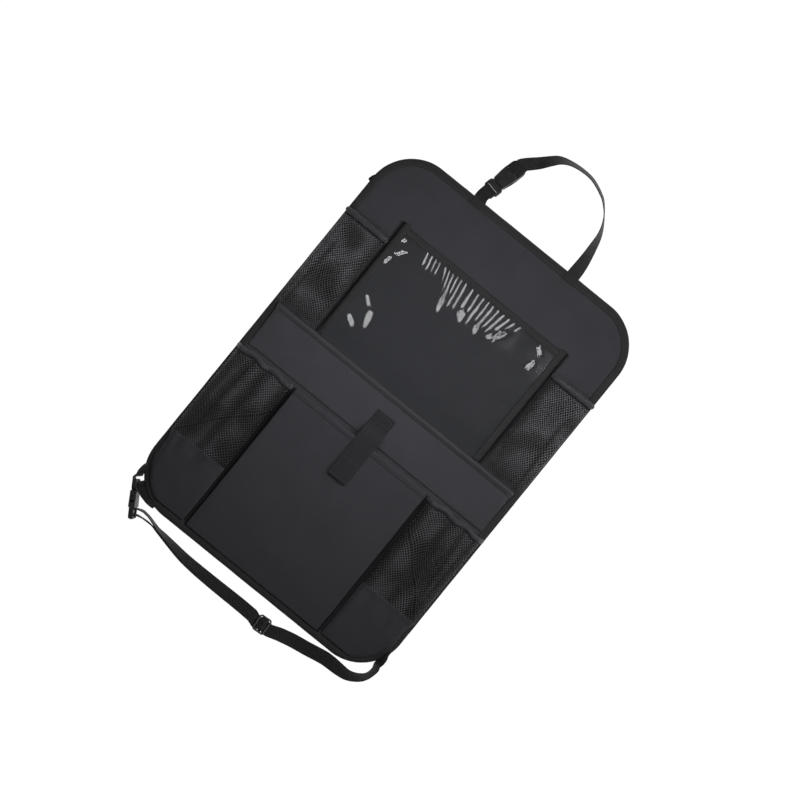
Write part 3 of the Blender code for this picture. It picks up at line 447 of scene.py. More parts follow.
def gridMesh(name, rows, wrap=False):
    # rows of points to quads, with the UV map "flat" in metres along and across
    points = np.array(rows, float)
    count, width = points.shape[:2]
    cells = [(row, column) for row in range(count - 1) for column in range(width if wrap else width - 1)]
    faces = []
    for row, column in cells:
        first, right = row * width, (column + 1) % width
        faces.append((first + column, first + right, first + width + right, first + width + column))
    mesh = bpy.data.meshes.new(name)
    mesh.from_pydata(points.reshape(-1, 3).tolist(), [], faces)
    middle = points[count // 2]
    across = runLength(np.vstack([middle, middle[:1]]) if wrap else middle)
    along = runLength(points[:, width // 2])
    steps = ((0, 0), (0, 1), (1, 1), (1, 0))
    values = [(along[row + down], across[column + over]) for row, column in cells for down, over in steps]
    mesh.uv_layers.new(name="flat").data.foreach_set("uv", np.ravel(values))
    mesh.shade_smooth()
    return mesh


def tube(name, rings, closed=False):
    # ends are capped, or merged where the last ring lies on the first
    mesh = gridMesh(name, rings, wrap=True)
    bm = bmesh.new()
    bm.from_mesh(mesh)
    verts, width = list(bm.verts), len(rings[0])
    if closed:
        bmesh.ops.remove_doubles(bm, verts=bm.verts, dist=1e-6)
    else:
        bm.faces.new(verts[width - 1::-1])
        bm.faces.new(verts[-width:])
    bmesh.ops.recalc_face_normals(bm, faces=bm.faces)
    bm.to_mesh(mesh)
    bm.free()
    mesh.shade_smooth()
    return mesh


def sheetMesh(name, surface, columns, rows):
    # an open sheet, most of which faces up
    points = [[surface(column / columns, row / rows) for column in range(columns
        + 1)] for row in range(rows + 1)]
    mesh = gridMesh(name, points)
    if sum(face.normal.z * face.area for face in mesh.polygons) < 0:
        mesh.flip_normals()
    return mesh


def tag(mesh, name, rule):
    layer = mesh.attributes.new(name, "FLOAT", "POINT")
    layer.data.foreach_set("value", [rule(*vertex.co) for vertex in mesh.vertices])


def thicken(item, thickness, offset=0.0):
    wall = item.modifiers.new("wall", "SOLIDIFY")
    wall.thickness, wall.offset = thickness, offset


def ripple(x, y, scale, seed=0.0):
    return noise.noise(Vector((x / scale + seed, y / scale - seed, seed * 0.37)))


def limit(value, low=0.0, high=1.0):
    return min(max(value, low), high)


def fade(value, start, end):
    share = limit((value - start) / (end - start))
    return share * share * (3 - 2 * share)


def between(low, high, share):
    return low + (high - low) * share


def smoothRows(values, steps):
    # Catmull-Rom through rows of numbers
    values = np.array(values, float)
    ends = np.vstack([2 * values[0] - values[1], values, 2 * values[-1] - values[-2]])
    result = []
    for index in range(1, len(ends) - 2):
        a, b, c, d = ends[index - 1:index + 3]
        for t in (step / steps for step in range(steps)):
            curve = (2 * a - 5 * b + 4 * c - d) * t ** 2 + (3 * b - a - 3 * c + d) * t ** 3
            result.append(0.5 * (2 * b + (c - a) * t + curve))
    return np.array(result + [values[-1]])


def neighbours(rows, index):
    return rows[max(index - 1, 0)], rows[min(index + 1, len(rows) - 1)]


# stitches and strands, set along the polylines of a mesh by a node tree

def newTree(name, materialInput, **sizes):
    tree = bpy.data.node_groups.new(name, "GeometryNodeTree")
    tree.interface.new_socket("Geometry", in_out="INPUT", socket_type="NodeSocketGeometry")
    for label, value in sizes.items():
        tree.interface.new_socket(label, in_out="INPUT", socket_type="NodeSocketFloat").default_value = value
    tree.interface.new_socket(materialInput, in_out="INPUT", socket_type="NodeSocketMaterial")
    tree.interface.new_socket("Geometry", in_out="OUTPUT", socket_type="NodeSocketGeometry")
    start = tree.nodes.new("NodeGroupInput").outputs
    return tree, start, addNode(tree, "GeometryNodeMeshToCurve", {"Mesh": start["Geometry"]}).outputs[0]


def endTree(tree, shape, material):
    real = addNode(tree, "GeometryNodeRealizeInstances", {0: shape.outputs[0]})
    smooth = addNode(tree, "GeometryNodeSetShadeSmooth", {0: real.outputs[0]})
    painted = addNode(tree, "GeometryNodeSetMaterial", {"Geometry": smooth.outputs[0], "Material": material})
    addNode(tree, "NodeGroupOutput", {0: painted.outputs[0]})
    return tree


def stitchTree():
    tree, start, curve = newTree("stitchRow", "thread", pitch=0.003, stitchLength=0.0022, threadRadius=0.00025)
    spaced = addNode(tree, "GeometryNodeResampleCurve", {"Curve": curve, "Length": start["pitch"]},
        mode="LENGTH")
    bead = addNode(tree, "GeometryNodeMeshUVSphere", {"Segments": 6, "Rings": 4, "Radius": 1.0})
    radius = start["threadRadius"]
    size = addNode(tree, "ShaderNodeCombineXYZ", {0: times(start["stitchLength"], 0.5), 1: radius, 2: radius})
    tangent = addNode(tree, "GeometryNodeInputTangent").outputs[0]
    turn = addNode(tree, "FunctionNodeAlignRotationToVector", {"Vector": tangent}, axis="X")
    inputs = {"Points": spaced, "Instance": bead, "Rotation": turn, "Scale": size}
    inputs = {key: item.outputs[0] for key, item in inputs.items()}
    return endTree(tree, addNode(tree, "GeometryNodeInstanceOnPoints", inputs), start["thread"])


def strandTree():
    tree, start, curve = newTree("netStrands", "yarn", strandRadius=0.0005)
    profile = addNode(tree, "GeometryNodeCurvePrimitiveCircle", {"Resolution": 4,
        "Radius": start["strandRadius"]})
    inputs = {"Curve": curve, "Profile Curve": profile.outputs[0], "Fill Caps": True}
    return endTree(tree, addNode(tree, "GeometryNodeCurveToMesh", inputs), start["yarn"])


stitching = stitchTree()
strands = strandTree()


def grow(name, polylines, tree, values, material, nodes=(), slot=None, fold=None):
    # runs a node tree on polylines and keeps the result as a plain mesh
    points, edges = [], []
    for line in polylines:
        first = len(points)
        points += [tuple(point) for point in line]
        edges += [(first + i, first + i + 1) for i in range(len(line) - 1)]
    source = bpy.data.meshes.new(name + "Path")
    source.from_pydata(points, edges, [])
    if fold:
        tag(source, "fold", fold)
    carrier = addToScene(name + "Path", source)
    modifier = carrier.modifiers.new("growth", "NODES")
    modifier.node_group = tree
    for socket in tree.interface.items_tree:
        if socket.in_out == "INPUT" and socket.name in values:
            modifier[socket.identifier] = values[socket.name]
    bpy.context.view_layer.update()
    graph = bpy.context.evaluated_depsgraph_get()
    mesh = bpy.data.meshes.new_from_object(carrier.evaluated_get(graph))
    bpy.data.objects.remove(carrier)
    mesh.materials.clear()
    mesh.name = name
    return makeObject(name, mesh, material, nodes, slot)


stitch = {"pitch": 0.0032, "stitchLength": 0.0024, "threadRadius": 0.00026, "thread": seamThread}


def stitchRow(name, polylines, **changes):
    grow(name, polylines, stitching, {**stitch, **changes}, seamThread, slot="tape")


# panel and edge binding

panel = {"width": 0.424, "height": 0.597, "corner": 0.067, "thickness": 0.003, "binding": 0.0112}


def innerEdge(y, inset):
    radius = panel["corner"] - inset
    past = abs(y) - (panel["height"] / 2 - panel["corner"])
    if past <= 0:
        return panel["width"] / 2 - inset
    return panel["width"] / 2 - panel["corner"] + sqrt(max(radius ** 2 - past ** 2, 0.0))


def outlinePath(inset, spacing=0.0016):
    # points round the panel's outline with their outward direction
    radius = panel["corner"] - inset
    halfX = panel["width"] / 2 - panel["corner"]
    halfY = panel["height"] / 2 - panel["corner"]
    corners = ((halfX, halfY, 0.0), (-halfX, halfY, pi / 2), (-halfX, -halfY, pi), (halfX, -halfY, 3 * pi / 2))
    points = []
    for index, (x, y, start) in enumerate(corners):
        steps = max(int(radius * pi / 2 / spacing), 6)
        for step in range(steps + 1):
            angle = start + step / steps * pi / 2
            points.append((x + radius * cos(angle), y + radius * sin(angle), cos(angle), sin(angle)))
        nextX, nextY, angle = corners[(index + 1) % 4]
        goalX, goalY = nextX + radius * cos(angle), nextY + radius * sin(angle)
        x, y = points[-1][:2]
        count = max(int(hypot(goalX - x, goalY - y) / spacing), 1)
        for share in (step / count for step in range(1, count)):
            points.append((between(x, goalX, share), between(y, goalY, share), cos(angle), sin(angle)))
    return points


def panelLevel(x, y):
    edge = min(innerEdge(y, 0.0) - abs(x), panel["height"] / 2 - abs(y))
    level = panel["thickness"] - 0.0005 * (1 - fade(edge, 0.008, 0.02))
    return level + 0.00035 * ripple(x, y, 0.055, 3.0) + 0.00012 * ripple(x, y, 0.018, 7.0)


# painted shade: 1 on the panel behind the net pockets and in the strip between the magazine pocket and the lower nets;
# the fabric material darkens the cloth there
def netShade(x, y, z):
    side = abs(x)
    upper = fade(side, 0.141, 0.147) * fade(y, 0.022, 0.03) * (1 - fade(y, 0.168, 0.18))
    lower = fade(side, 0.1125, 0.1155) * fade(y, -0.289, -0.283) * (1 - fade(y, -0.064, -0.054))
    return max(upper, lower)


def makePanel():
    inset = 0.0012
    top = panel["height"] / 2 - inset

    def surface(s, t):
        y = -top * cos(pi * t) * (1 - 0.25 * sin(pi * t) ** 2) if 0 < t < 1 else top * (2 * t - 1)
        x = (2 * s - 1) * innerEdge(y, inset)
        return x, y, panelLevel(x, y)

    mesh = sheetMesh("panelFabric", surface, 110, 150)
    for loop in mesh.loops:
        mesh.uv_layers["flat"].data[loop.index].uv = mesh.vertices[loop.vertex_index].co.xy
    tag(mesh, "netShade", netShade)
    item = makeObject("panelFabric", mesh, panelCloth, ["back_panel"], "panel_fabric")
    thicken(item, 0.0021, -1.0)
    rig.sheet(item, (panel["width"] - 2 * inset, panel["height"] - 2 * inset), "laid", area=0.2485)


def makeBinding():
    path = outlinePath(0.0)
    width = panel["binding"]
    profile = [(width, 0.0029), (width - 0.0004, 0.0034), (width - 0.002, 0.0037), (0.007, 0.0038), (0.004,
        0.0037), (0.0018, 0.0034), (0.0005, 0.0026), (0.0, 0.0018), (0.0006, 0.0008), (0.002, 0.0003), (0.0045,
        0.0002), (width - 0.001, 0.0002), (width, 0.0005), (width, 0.0017)]
    rings = []
    run = 0.0
    previous = path[-1]
    for x, y, outX, outY in path + path[:1]:
        run += hypot(x - previous[0], y - previous[1])
        previous = (x, y)
        pucker = 0.00022 * sin(run * 2 * pi / 0.0066) + 0.0003 * ripple(x, y, 0.03, 1.0)
        swell = 0.00016 * ripple(x, y, 0.012, 5.0)
        ring = []
        for inset, z in profile:
            bend = pucker * (inset / width) ** 2 + (0.0002 * ripple(x, y, 0.02, 9.0) if inset < 0.004 else 0.0)
            ring.append((x - outX * (inset + bend), y - outY * (inset + bend),
                z + (swell if z > 0.003 else 0.0)))
        rings.append(ring)
    rings[-1] = rings[0]
    makeObject("edgeBinding", tube("edgeBinding", rings, closed=True), bindingTape, ["edge_binding"], "tape")
    path = outlinePath(0.0088, 0.004)
    lines = [[(x, y, level) for x, y, outX, outY in path + path[:1]] for level in (0.00385, 0.0001)]
    stitchRow("bindingStitches", lines, threadRadius=0.00022)
    tail = [(-0.209, 0.2362), (-0.2123, 0.2358), (-0.2142, 0.232), (-0.2154, 0.2268), (-0.2136, 0.2252),
        (-0.2112, 0.2248), (-0.209, 0.225)]
    rings = [[(x, y, level) for x, y in tail] for level in (0.0012, 0.0026)]
    makeObject("bindingTail", tube("bindingTail", rings), bindingTape, slot="tape")


makePanel()
makeBinding()
print("panel and binding made")


# clear film of the tablet pocket

foot = panel["thickness"] + 0.0007
film = {"half": 0.1325, "bottom": 0.0245, "top": 0.2074, "depth": 0.0056}
# creases of the film: x and y at the hem, x and y at the tip, half width, steepness
creases = [(-0.091, 0.198, -0.088, 0.183, 0.0019, 0.2), (-0.084, 0.199, -0.08, 0.181, 0.0018, 0.21), (-0.077,
    0.199, -0.073, 0.184, 0.0016, 0.2), (-0.07, 0.199, -0.067, 0.183, 0.0016, 0.19), (-0.061, 0.199, -0.037,
    0.148, 0.0026, 0.21), (-0.054, 0.199, -0.04, 0.16, 0.002, 0.19), (-0.047, 0.199, -0.036, 0.158, 0.0019,
    0.21), (-0.04, 0.199, -0.031, 0.156, 0.0019, 0.2), (-0.033, 0.199, -0.027, 0.16, 0.0018, 0.21), (-0.025,
    0.199, -0.02, 0.163, 0.0021, 0.2), (-0.014, 0.199, -0.011, 0.16, 0.0026, 0.2), (-0.004, 0.199, -0.001,
    0.168, 0.002, 0.18), (0.005, 0.199, 0.006, 0.159, 0.0024, 0.21), (0.014, 0.199, 0.014, 0.164, 0.002,
    0.19), (0.022, 0.199, 0.021, 0.162, 0.0022, 0.21), (0.031, 0.199, 0.028, 0.168, 0.0019, 0.19), (0.04,
    0.199, 0.033, 0.158, 0.0024, 0.21), (0.049, 0.199, 0.039, 0.16, 0.0024, 0.2), (0.058, 0.199, 0.047, 0.164,
    0.0022, 0.21), (0.067, 0.197, 0.055, 0.172, 0.0022, 0.2)]
# flat dents that face the lamp: centre, half length, half width, turn in degrees
dents = [(-0.0975, 0.081, 0.0175, 0.0076, -75), (-0.112, 0.0985, 0.0125, 0.0048, -28), (-0.114, 0.064,
    0.0135, 0.0062, -22), (-0.118, 0.176, 0.014, 0.0046, 39), (-0.1265, 0.158, 0.0095, 0.0042, 70),
    (-0.1255, 0.1915, 0.0062, 0.0036, 33), (-0.035, 0.16, 0.0175, 0.005, -77), (-0.003, 0.162, 0.0095,
    0.0076, -60), (0.0225, 0.162, 0.01, 0.0058, -70), (0.05, 0.17, 0.02, 0.0066, 50), (0.108, 0.1905,
    0.0085, 0.0044, -21), (0.111, 0.168, 0.0095, 0.0044, 65), (0.121, 0.043, 0.0075, 0.0036, 40), (-0.1285,
    0.031, 0.006, 0.0034, 80)]
towardLamp = (0.16, 0.057)


def creaseHeight(x, y):
    total = 0.0
    for x0, y0, x1, y1, half, steep in creases:
        dx, dy = x1 - x0, y1 - y0
        span = sqrt(dx * dx + dy * dy)
        along = ((x - x0) * dx + (y - y0) * dy) / span
        if along < -0.008 or along > span + 0.007:
            continue
        off = abs((x - x0) * dy - (y - y0) * dx) / span
        wide = half * (0.75 + 0.5 * along / span)
        if off > 3 * wide:
            continue
        ends = fade(along, -0.008, 0.001) * (1 - fade(along, span - 0.004, span + 0.007))
        total += steep * wide * exp(-(off / wide) ** 2) * ends
    return total


def dentHeight(x, y):
    total = 0.0
    for cx, cy, long, wide, turn in dents:
        dx, dy = x - cx, y - cy
        c, s = cos(radians(turn)), sin(radians(turn))
        distance = ((dx * c + dy * s) / long) ** 2 + ((dy * c - dx * s) / wide) ** 2
        if distance < 3:
            total -= (towardLamp[0] * dx + towardLamp[1] * dy) * exp(-distance ** 3)
    return total


def filmLevel(x, y):
    rise = 0.07 + 0.93 * sin(fade(y, film["bottom"], 0.07) * pi / 2)
    crown = 1 - 0.05 * (x / film["half"]) ** 2
    lip = 0.0022 * fade(y, 0.15, 0.199) * (1 - 0.35 * fade(abs(x), 0.075, 0.1))
    level = foot + film["depth"] * rise * crown - lip
    level += 0.0002 * ripple(x, y, 0.06, 4.0) * rise
    return level + creaseHeight(x, y) + dentHeight(x, y)


hemProfile = ((0.0088, 0.0004), (0.0084, 0.0008), (0.006, 0.001), (0.003, 0.0011), (0.0008, 0.0009), (0.0,
    0.0), (0.0008, -0.0008), (0.003, -0.0009), (0.007, -0.0008), (0.0088, -0.0004))


def makeTabletPocket():
    def surface(s, t):
        x, y = (2 * s - 1) * film["half"], between(film["bottom"], film["top"], t)
        return x, y, filmLevel(x, y)

    item = makeObject("tabletFilm", sheetMesh("tabletFilm", surface, 400, 200), clearFilm, ["tablet_window"],
        "film")
    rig.sheet(item, (2 * film["half"], film["top"] - film["bottom"]), "laid", rests_on=["back_panel"])

    rings = []
    for x in ((2 * step / 150 - 1) * 0.13 for step in range(151)):
        level = filmLevel(x, 0.2035) + 0.0002
        sway = 0.0004 * ripple(x, 0.0, 0.022, 2.0)
        pucker = 0.00015 * sin(x * 2 * pi / 0.0064)
        rings.append([(x, 0.208 + sway - along + pucker * (along / 0.0088), level + lift + pucker) for along,
            lift in hemProfile])
    item = makeObject("filmHem", tube("filmHem", rings), bindingTape, ["tablet_window_hem"], "tape")
    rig.sheet(item, (0.26, 0.01), "folded", rests_on=["tabletFilm"])
    places = [(2 * k / 60 - 1) * 0.1285 for k in range(61)]
    stitchRow("filmHemStitches", [[(x, y, filmLevel(x, 0.2035) + lift) for x in places] for y, lift in ((0.2012,
        0.0012), (0.2059, 0.0013))])


def makeFilmTape(side, name):
    edge = film["half"]

    def surface(s, t):
        y = between(film["bottom"], 0.212, t)
        level = filmLevel(side * edge, min(y, 0.2035)) - foot
        lean = 0.0008 * ripple(y, side, 0.03, 6.0)
        ear = 0.001 * ripple(y, side * 2.0, 0.01, 1.0) * fade(y, 0.15, 0.195)
        profile = ((0.0112, 0.0), (0.0098, 0.0002), (0.0076, 0.0003), (0.006, 0.4 * level), (0.0052,
            level + ear), (0.0036, level + 0.0009 + ear), (0.001, level + 0.0011), (-0.003, level + 0.0008))
        x, z = (float(np.interp(s * 7, range(8), column)) for column in zip(*profile))
        return side * (edge + x + lean), y, foot + 0.0002 + z

    mesh = sheetMesh("filmTape" + name, surface, 28, 110)
    item = makeObject("filmTape" + name, mesh, bindingTape, ["tablet_side_tape_" + name.lower()], "tape")
    # painted shade: the tape's side fold takes the near-black cloth
    mesh.materials.append(gussetCloth)
    for face in mesh.polygons:
        off = abs(sum(mesh.vertices[i].co.x for i in face.vertices) / 4) - edge
        face.material_index = 1 if 0.006 < off < 0.01 else 0
    thicken(item, 0.0006)
    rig.sheet(item, (0.013 + 0.012, 0.188), "folded", rests_on=["back_panel"])
    x = side * (edge - 0.0012)
    places = [film["bottom"] + 0.184 * k / 40 for k in range(41)]
    stitchRow("filmTapeStitches" + name, [[(x, y, filmLevel(x, y) + 0.0016) for y in places]])


sides = ((-1, "Left"), (1, "Right"))
makeTabletPocket()
for side, name in sides:
    makeFilmTape(side, name)
print("tablet pocket made")


# net pockets

def domeSection(left, right, depth, power=4.0, samples=81):
    angles = np.linspace(pi, 0.0, samples)
    cosines = np.cos(angles)
    x = (left + right) / 2 + (right - left) / 2 * np.sign(cosines) * np.abs(cosines) ** (2 / power)
    return x, foot + depth * np.abs(np.sin(angles)) ** (2 / power)


def onSection(section, share):
    # the point a share of the way along a section's columns x and z
    length = runLength(np.column_stack(section))
    return [float(np.interp(share * length[-1], length, column)) for column in section]


net = {"across": 0.00222, "along": 0.00236, "weave": 0.00025, "strand": 0.00046}


def makeNet(name, node, across, along, place, fold):
    # two families of diagonals over a sheet; place(u, v, lift) gives the point
    countU, countV = int(round(across / net["across"])), int(round(along / net["along"]))
    lines = []
    for family, side in ((1, 0), (-1, countU)):
        for i, j in [(i, 0) for i in range(0, countU + 1, 2)] + [(side, j) for j in range(2, countV, 2)]:
            line = []
            while 0 <= i <= countU and j <= countV:
                lift = net["weave"] * (1 if (j // 2 + i // 2) % 2 else -1) * family
                line.append(place(i / countU, j / countV, lift))
                i, j = i + family, j + 1
            if len(line) > 1:
                lines.append(line)
    values = {"strandRadius": net["strand"], "yarn": netYarn}
    item = grow(name, lines, strands, values, netYarn, [node], "net", fold)
    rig.sheet(item, (across, along), "gathered", rests_on=["back_panel"])


def makeElastic(name, node, side, under, point, mouth, look):
    # on a net pocket's mouth: a sewn flange and a round tube, with painted shade in the valley between them, given as
    # a nearly black cloth
    rings = []
    for share in (0.004 + 0.992 * step / look["count"] for step in range(look["count"] + 1)):
        y, reach = mouth(share), look["reach"]
        here, near, back = (Vector(point(limit(share + shift), y, side)) for shift in (0.0, reach, -reach))
        tangent = (near - back).normalized() * side
        normal = Vector((-tangent.z, 0, tangent.x))
        gather = 0.00025 * sin(share * look["waves"])
        gather += 0.0004 * ripple(share * look["run"], 0, 0.013, look["seed"])
        ring = []
        for along, lift in look["profile"]:
            spot = here + normal * (lift + gather * (1 if lift > 0 else 0.5))
            ring.append((spot.x, spot.y - along + gather * look["sway"], spot.z))
        rings.append(ring)
    mesh = tube(name, rings)
    item = makeObject(name, mesh, elasticTape, [node], "elastic")
    # painted shade: the faces of the valley take the near-black cloth
    mesh.materials.append(gussetCloth)
    for face in mesh.polygons:
        face.material_index = 1 if face.index % 10 == 1 else 0
    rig.sheet(item, look["flat"], "folded", rests_on=[under])
    shares = [0.02 + 0.96 * step / look["stitches"] for step in range(look["stitches"] + 1)]
    line = [point(share, mouth(share), side) for share in shares]
    stitchRow(look["seam"], [[(x, y - look["inset"], z + 0.0013) for x, y, z in line]])


upperNet = {"outer": 0.21, "inner": 0.1452, "bottom": 0.0245, "top": 0.1735, "mouth": 0.181, "depth": 0.0095}


upperElastic = {"count": 90, "reach": 0.01, "waves": 34, "run": 0.08, "seed": 8.0, "sway": 1, "flat": (0.083,
    0.013), "stitches": 40, "inset": 0.0098, "profile": ((0.0115, 0.0004), (0.0104, 0.0009), (0.008, 0.0012),
    (0.0048, 0.0036), (0.0016, 0.003), (-0.0004, 0.0006), (0.0006, -0.0008), (0.005, -0.0014), (0.01,
    -0.0011), (0.0115, -0.0006))}


def upperPoint(share, y, side, lift=0.0):
    rise = 0.0004 + sin(limit((y - upperNet["bottom"]) / 0.045) * pi / 2) ** 0.8
    x, z = onSection(domeSection(upperNet["inner"], upperNet["outer"], upperNet["depth"] * rise), share)
    return side * x, y, max(z + 0.0007 * ripple(x, y, 0.028, 2.0 + side), foot) + lift


def makeUpperNet(side, name):
    def place(u, v, lift):
        y = between(upperNet["bottom"], upperNet["top"], v)
        inside = 4 * v * (1 - v)
        u += 0.1 * ripple(0.08 * u, y, 0.07, 3.0 + side) * 4 * u * (1 - u)
        return upperPoint(u, y + 0.01 * inside * ripple(0.08 * u, y, 0.05, 8.0 + side), side, lift)

    # painted shade for the yarn: darker by the film pocket's wall, in patches, toward the bottom and along a diagonal
    # streak
    def fold(x, y, z):
        out = abs(x)
        wall = 1 - fade(out, 0.146, 0.158) * 0.8
        patches = fade(ripple(x, y, 0.04, 1.5), -0.15, 0.45) * 0.8
        bottom = 1 - fade(y, 0.03, 0.075)
        streak = exp(-((out - 0.1945 - 0.05 * (0.12 - y)) / 0.0035) ** 2) * (1 - fade(y, 0.12, 0.15))
        return min(max(wall * 0.8, patches, bottom * 0.7, streak * 0.9) + 0.08, 1.0)

    makeNet("upperNet" + name, "upper_net_" + name.lower(), 0.0835, upperNet["top"] - upperNet["bottom"], place,
        fold)
    look = {**upperElastic, "seam": "upperElasticStitches" + name}
    makeElastic("upperElastic" + name, "upper_elastic_" + name.lower(), side, "upperNet" + name, upperPoint,
        lambda share: upperNet["mouth"], look)


lowerNet = {"outer": 0.2092, "inner": 0.12, "top": -0.05, "seam": -0.199, "bottom": -0.287, "depth": 0.011,
    "fold": 0.0034, "lean": 0.013}
lowerElastic = {"count": 110, "reach": 0.012, "waves": 40, "run": 0.09, "seed": 5.0, "sway": 0, "flat": (0.105,
    0.011), "stitches": 50, "inset": 0.008, "profile": ((0.0092, 0.0004), (0.0084, 0.0009), (0.0066, 0.0012),
    (0.004, 0.0034), (0.0014, 0.0028), (-0.0004, 0.0006), (0.0006, -0.0008), (0.0042, -0.0013), (0.0084,
    -0.001), (0.0092, -0.0005))}


def mouthY(share):
    x = between(lowerNet["inner"], lowerNet["outer"], share)
    return lowerNet["top"] - 0.0022 - 0.0016 * cos((x - 0.128) * 2 * pi / 0.036)


def lowerDrop(y):
    return limit((lowerNet["top"] - y) / (lowerNet["top"] - lowerNet["seam"]))


def ridges(x, rows):
    return sum(height * exp(-((x - centre) / width) ** 2) for centre, width, height in rows)


def lowerPoint(share, y, side, lift=0.0, pleats=1.0):
    down = max((lowerNet["top"] - y) / (lowerNet["top"] - lowerNet["bottom"]), 0.0)
    outer = min(lowerNet["outer"], innerEdge(y, 0.007 - 0.0042 * fade(y, -0.215, -0.196)))
    x = between(lowerNet["inner"], outer, share)
    wall = max(min((x - lowerNet["inner"]) / 0.008, (outer - x) / 0.009, 1.0), 0.0)
    level = foot + (0.0006 + lowerNet["depth"] * (1 - down ** 2.4)) * (1 - (1 - wall) ** 2.6)
    drop = lowerDrop(y)
    drift = lowerNet["lean"] * drop
    folds = ridges(x, ((0.1445 + drift * 0.1, 0.0062, 0.9), (0.1575 + drift * 0.4, 0.0045, -0.9),
        (0.168 + drift, 0.006, 1.0), (0.18 + drift * 0.9, 0.0042, -0.8)))
    sharp = 0.45 + 0.55 * sin(pi * min(drop * 1.15, 1.0))
    level += lowerNet["fold"] * folds * sharp * pleats * wall + 0.0009 * ripple(x, y, 0.026, 3.0 + side) * wall
    return side * x, y, max(level, foot + 0.0002) + lift


def makeLowerNet(side, name):
    def place(u, v, lift):
        y = between(lowerNet["seam"] - 0.003, mouthY(u) - 0.006, v)
        inside = 4 * v * (1 - v)
        u += 0.08 * ripple(0.09 * u, y, 0.06, 5.0 + side) * 4 * u * (1 - u)
        return lowerPoint(u, y + 0.008 * inside * ripple(0.09 * u, y, 0.045, 2.0 + side), side, lift)

    # painted shade for the yarn: darker in the pleat valleys and in patches, and darker all over than the upper nets
    def fold(x, y, z):
        drop = lowerDrop(y)
        drift = lowerNet["lean"] * drop
        depth = ridges(abs(x), ((0.125, 0.006, 1), (0.1585 + drift * 0.4, 0.005, 1), (0.181 + drift * 0.9,
            0.0045, 1), (0.202, 0.005, 1)))
        patches = fade(ripple(x, y, 0.04, 3.5), -0.1, 0.5) * 0.6
        return min(max(depth, patches) * (0.35 + 0.65 * fade(drop, 0.02, 0.3)) + 0.45, 1.0)

    makeNet("lowerNet" + name, "lower_net_" + name.lower(), 0.096, 0.144, place, fold)
    look = {**lowerElastic, "seam": "lowerElasticStitches" + name}
    makeElastic("lowerElastic" + name, "lower_elastic_" + name.lower(), side, "lowerNet" + name, lowerPoint,
        mouthY, look)


def makeLowerBase(side, name):
    def surface(s, t):
        y = between(lowerNet["bottom"], lowerNet["seam"] + 0.0015, t)
        x, y, z = lowerPoint(s, y, side, 0.0, fade(y, -0.232, -0.199))
        return x, y, z + 0.0004 * fade(y, -0.203, -0.198) + 0.0004

    mesh = sheetMesh("lowerBase" + name, surface, 60, 60)
    item = makeObject("lowerBase" + name, mesh, footCloth, ["lower_base_" + name.lower()], "pocket_fabric")
    thicken(item, 0.0007)
    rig.sheet(item, (0.1, 0.088), "laid", rests_on=["back_panel"])
    line = [lowerPoint(0.03 + 0.94 * k / 40, lowerNet["seam"] - 0.0016, side) for k in range(41)]
    stitchRow("lowerBaseStitches" + name, [[(x, y, z + 0.0012) for x, y, z in line]])


for side, name in sides:
    makeUpperNet(side, name)
    makeLowerNet(side, name)
    makeLowerBase(side, name)
print("net pockets made")


# slip pocket across the middle

band = {"half": 0.201, "top": 0.022, "bottom": -0.0465, "depth": 0.012}


def foldedHem(name, stations, width, thick, material, nodes, slot):
    # a hem folded over a cloth's edge; stations are edge, normal and the way into the cloth
    rings = []
    for index, (edge, normal, inward) in enumerate(stations):
        pucker = 0.00012 * sin(index * 2.1)
        ring = []
        for along, lift in ((1.0, 0.4), (0.94, 0.8), (0.72, 0.85), (0.46, 1.45), (0.2, 1.55), (0.0, 0.5),
                (0.06, -0.7), (0.5, -1.0), (0.92, -0.8), (1.0, -0.4)):
            point = edge + inward * (along * width + pucker * along) + normal * (lift * thick + pucker)
            ring.append(tuple(point))
        rings.append(ring)
    return makeObject(name, tube(name, rings), material, nodes, slot)


def makeBand():
    def surface(s, t):
        y = between(band["bottom"], band["top"] - 0.0015, t)
        rise = 0.0004 + band["depth"] * (y - band["bottom"]) / (band["top"] - band["bottom"])
        px, pz = onSection(domeSection(-band["half"], band["half"], rise, 9.0, 161), s)
        loose = fade(y, band["bottom"], band["bottom"] + 0.02) * (1 - fade(abs(px), 0.185, 0.2))
        pz += (0.0008 * ripple(px, y, 0.075, 1.0) + 0.0003 * ripple(px, y, 0.026, 2.0)) * loose
        pucker = 0.00025 * sin(px * 2 * pi / 0.0083) * (1 - fade(y, band["bottom"], band["bottom"] + 0.007))
        return Vector((px, y, max(pz + pucker, foot)))

    mesh = sheetMesh("slipPocket", surface, 240, 36)
    item = makeObject("slipPocket", mesh, pocketCloth, ["middle_band"], "pocket_fabric")
    thicken(item, 0.0007)
    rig.sheet(item, (0.42, 0.069), "laid", rests_on=["back_panel"])

    stations = []
    count = 200
    for step in range(count + 1):
        share = 0.006 + 0.988 * step / count
        top = surface(share, 1.0)
        inward = (surface(share, 0.88) - top).normalized()
        across = surface(min(share + 0.004, 1.0), 1.0) - surface(max(share - 0.004, 0.0), 1.0)
        normal = Vector((-across.z, 0.0, across.x)).normalized()
        stations.append((top - inward * 0.0015, normal, inward))
    hem = foldedHem("slipPocketHem", stations, 0.0088, 0.0011, elasticTape, ["middle_band_hem"], "tape")
    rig.sheet(hem, (0.42, 0.01), "folded", rests_on=["slipPocket"])
    line = [tuple(edge + inward * 0.007 + normal * 0.0012) for edge, normal, inward in stations[4:-4:4]]
    stitchRow("slipPocketStitches", [line])
    seam = [((2 * k / 80 - 1) * 0.198, band["bottom"] + 0.003, float(surface(0.02 + 0.96 * k / 80,
        0.045).z) + 0.0007) for k in range(81)]
    stitchRow("slipPocketSeam", [seam])


makeBand()
print("slip pocket made")


# magazine pocket

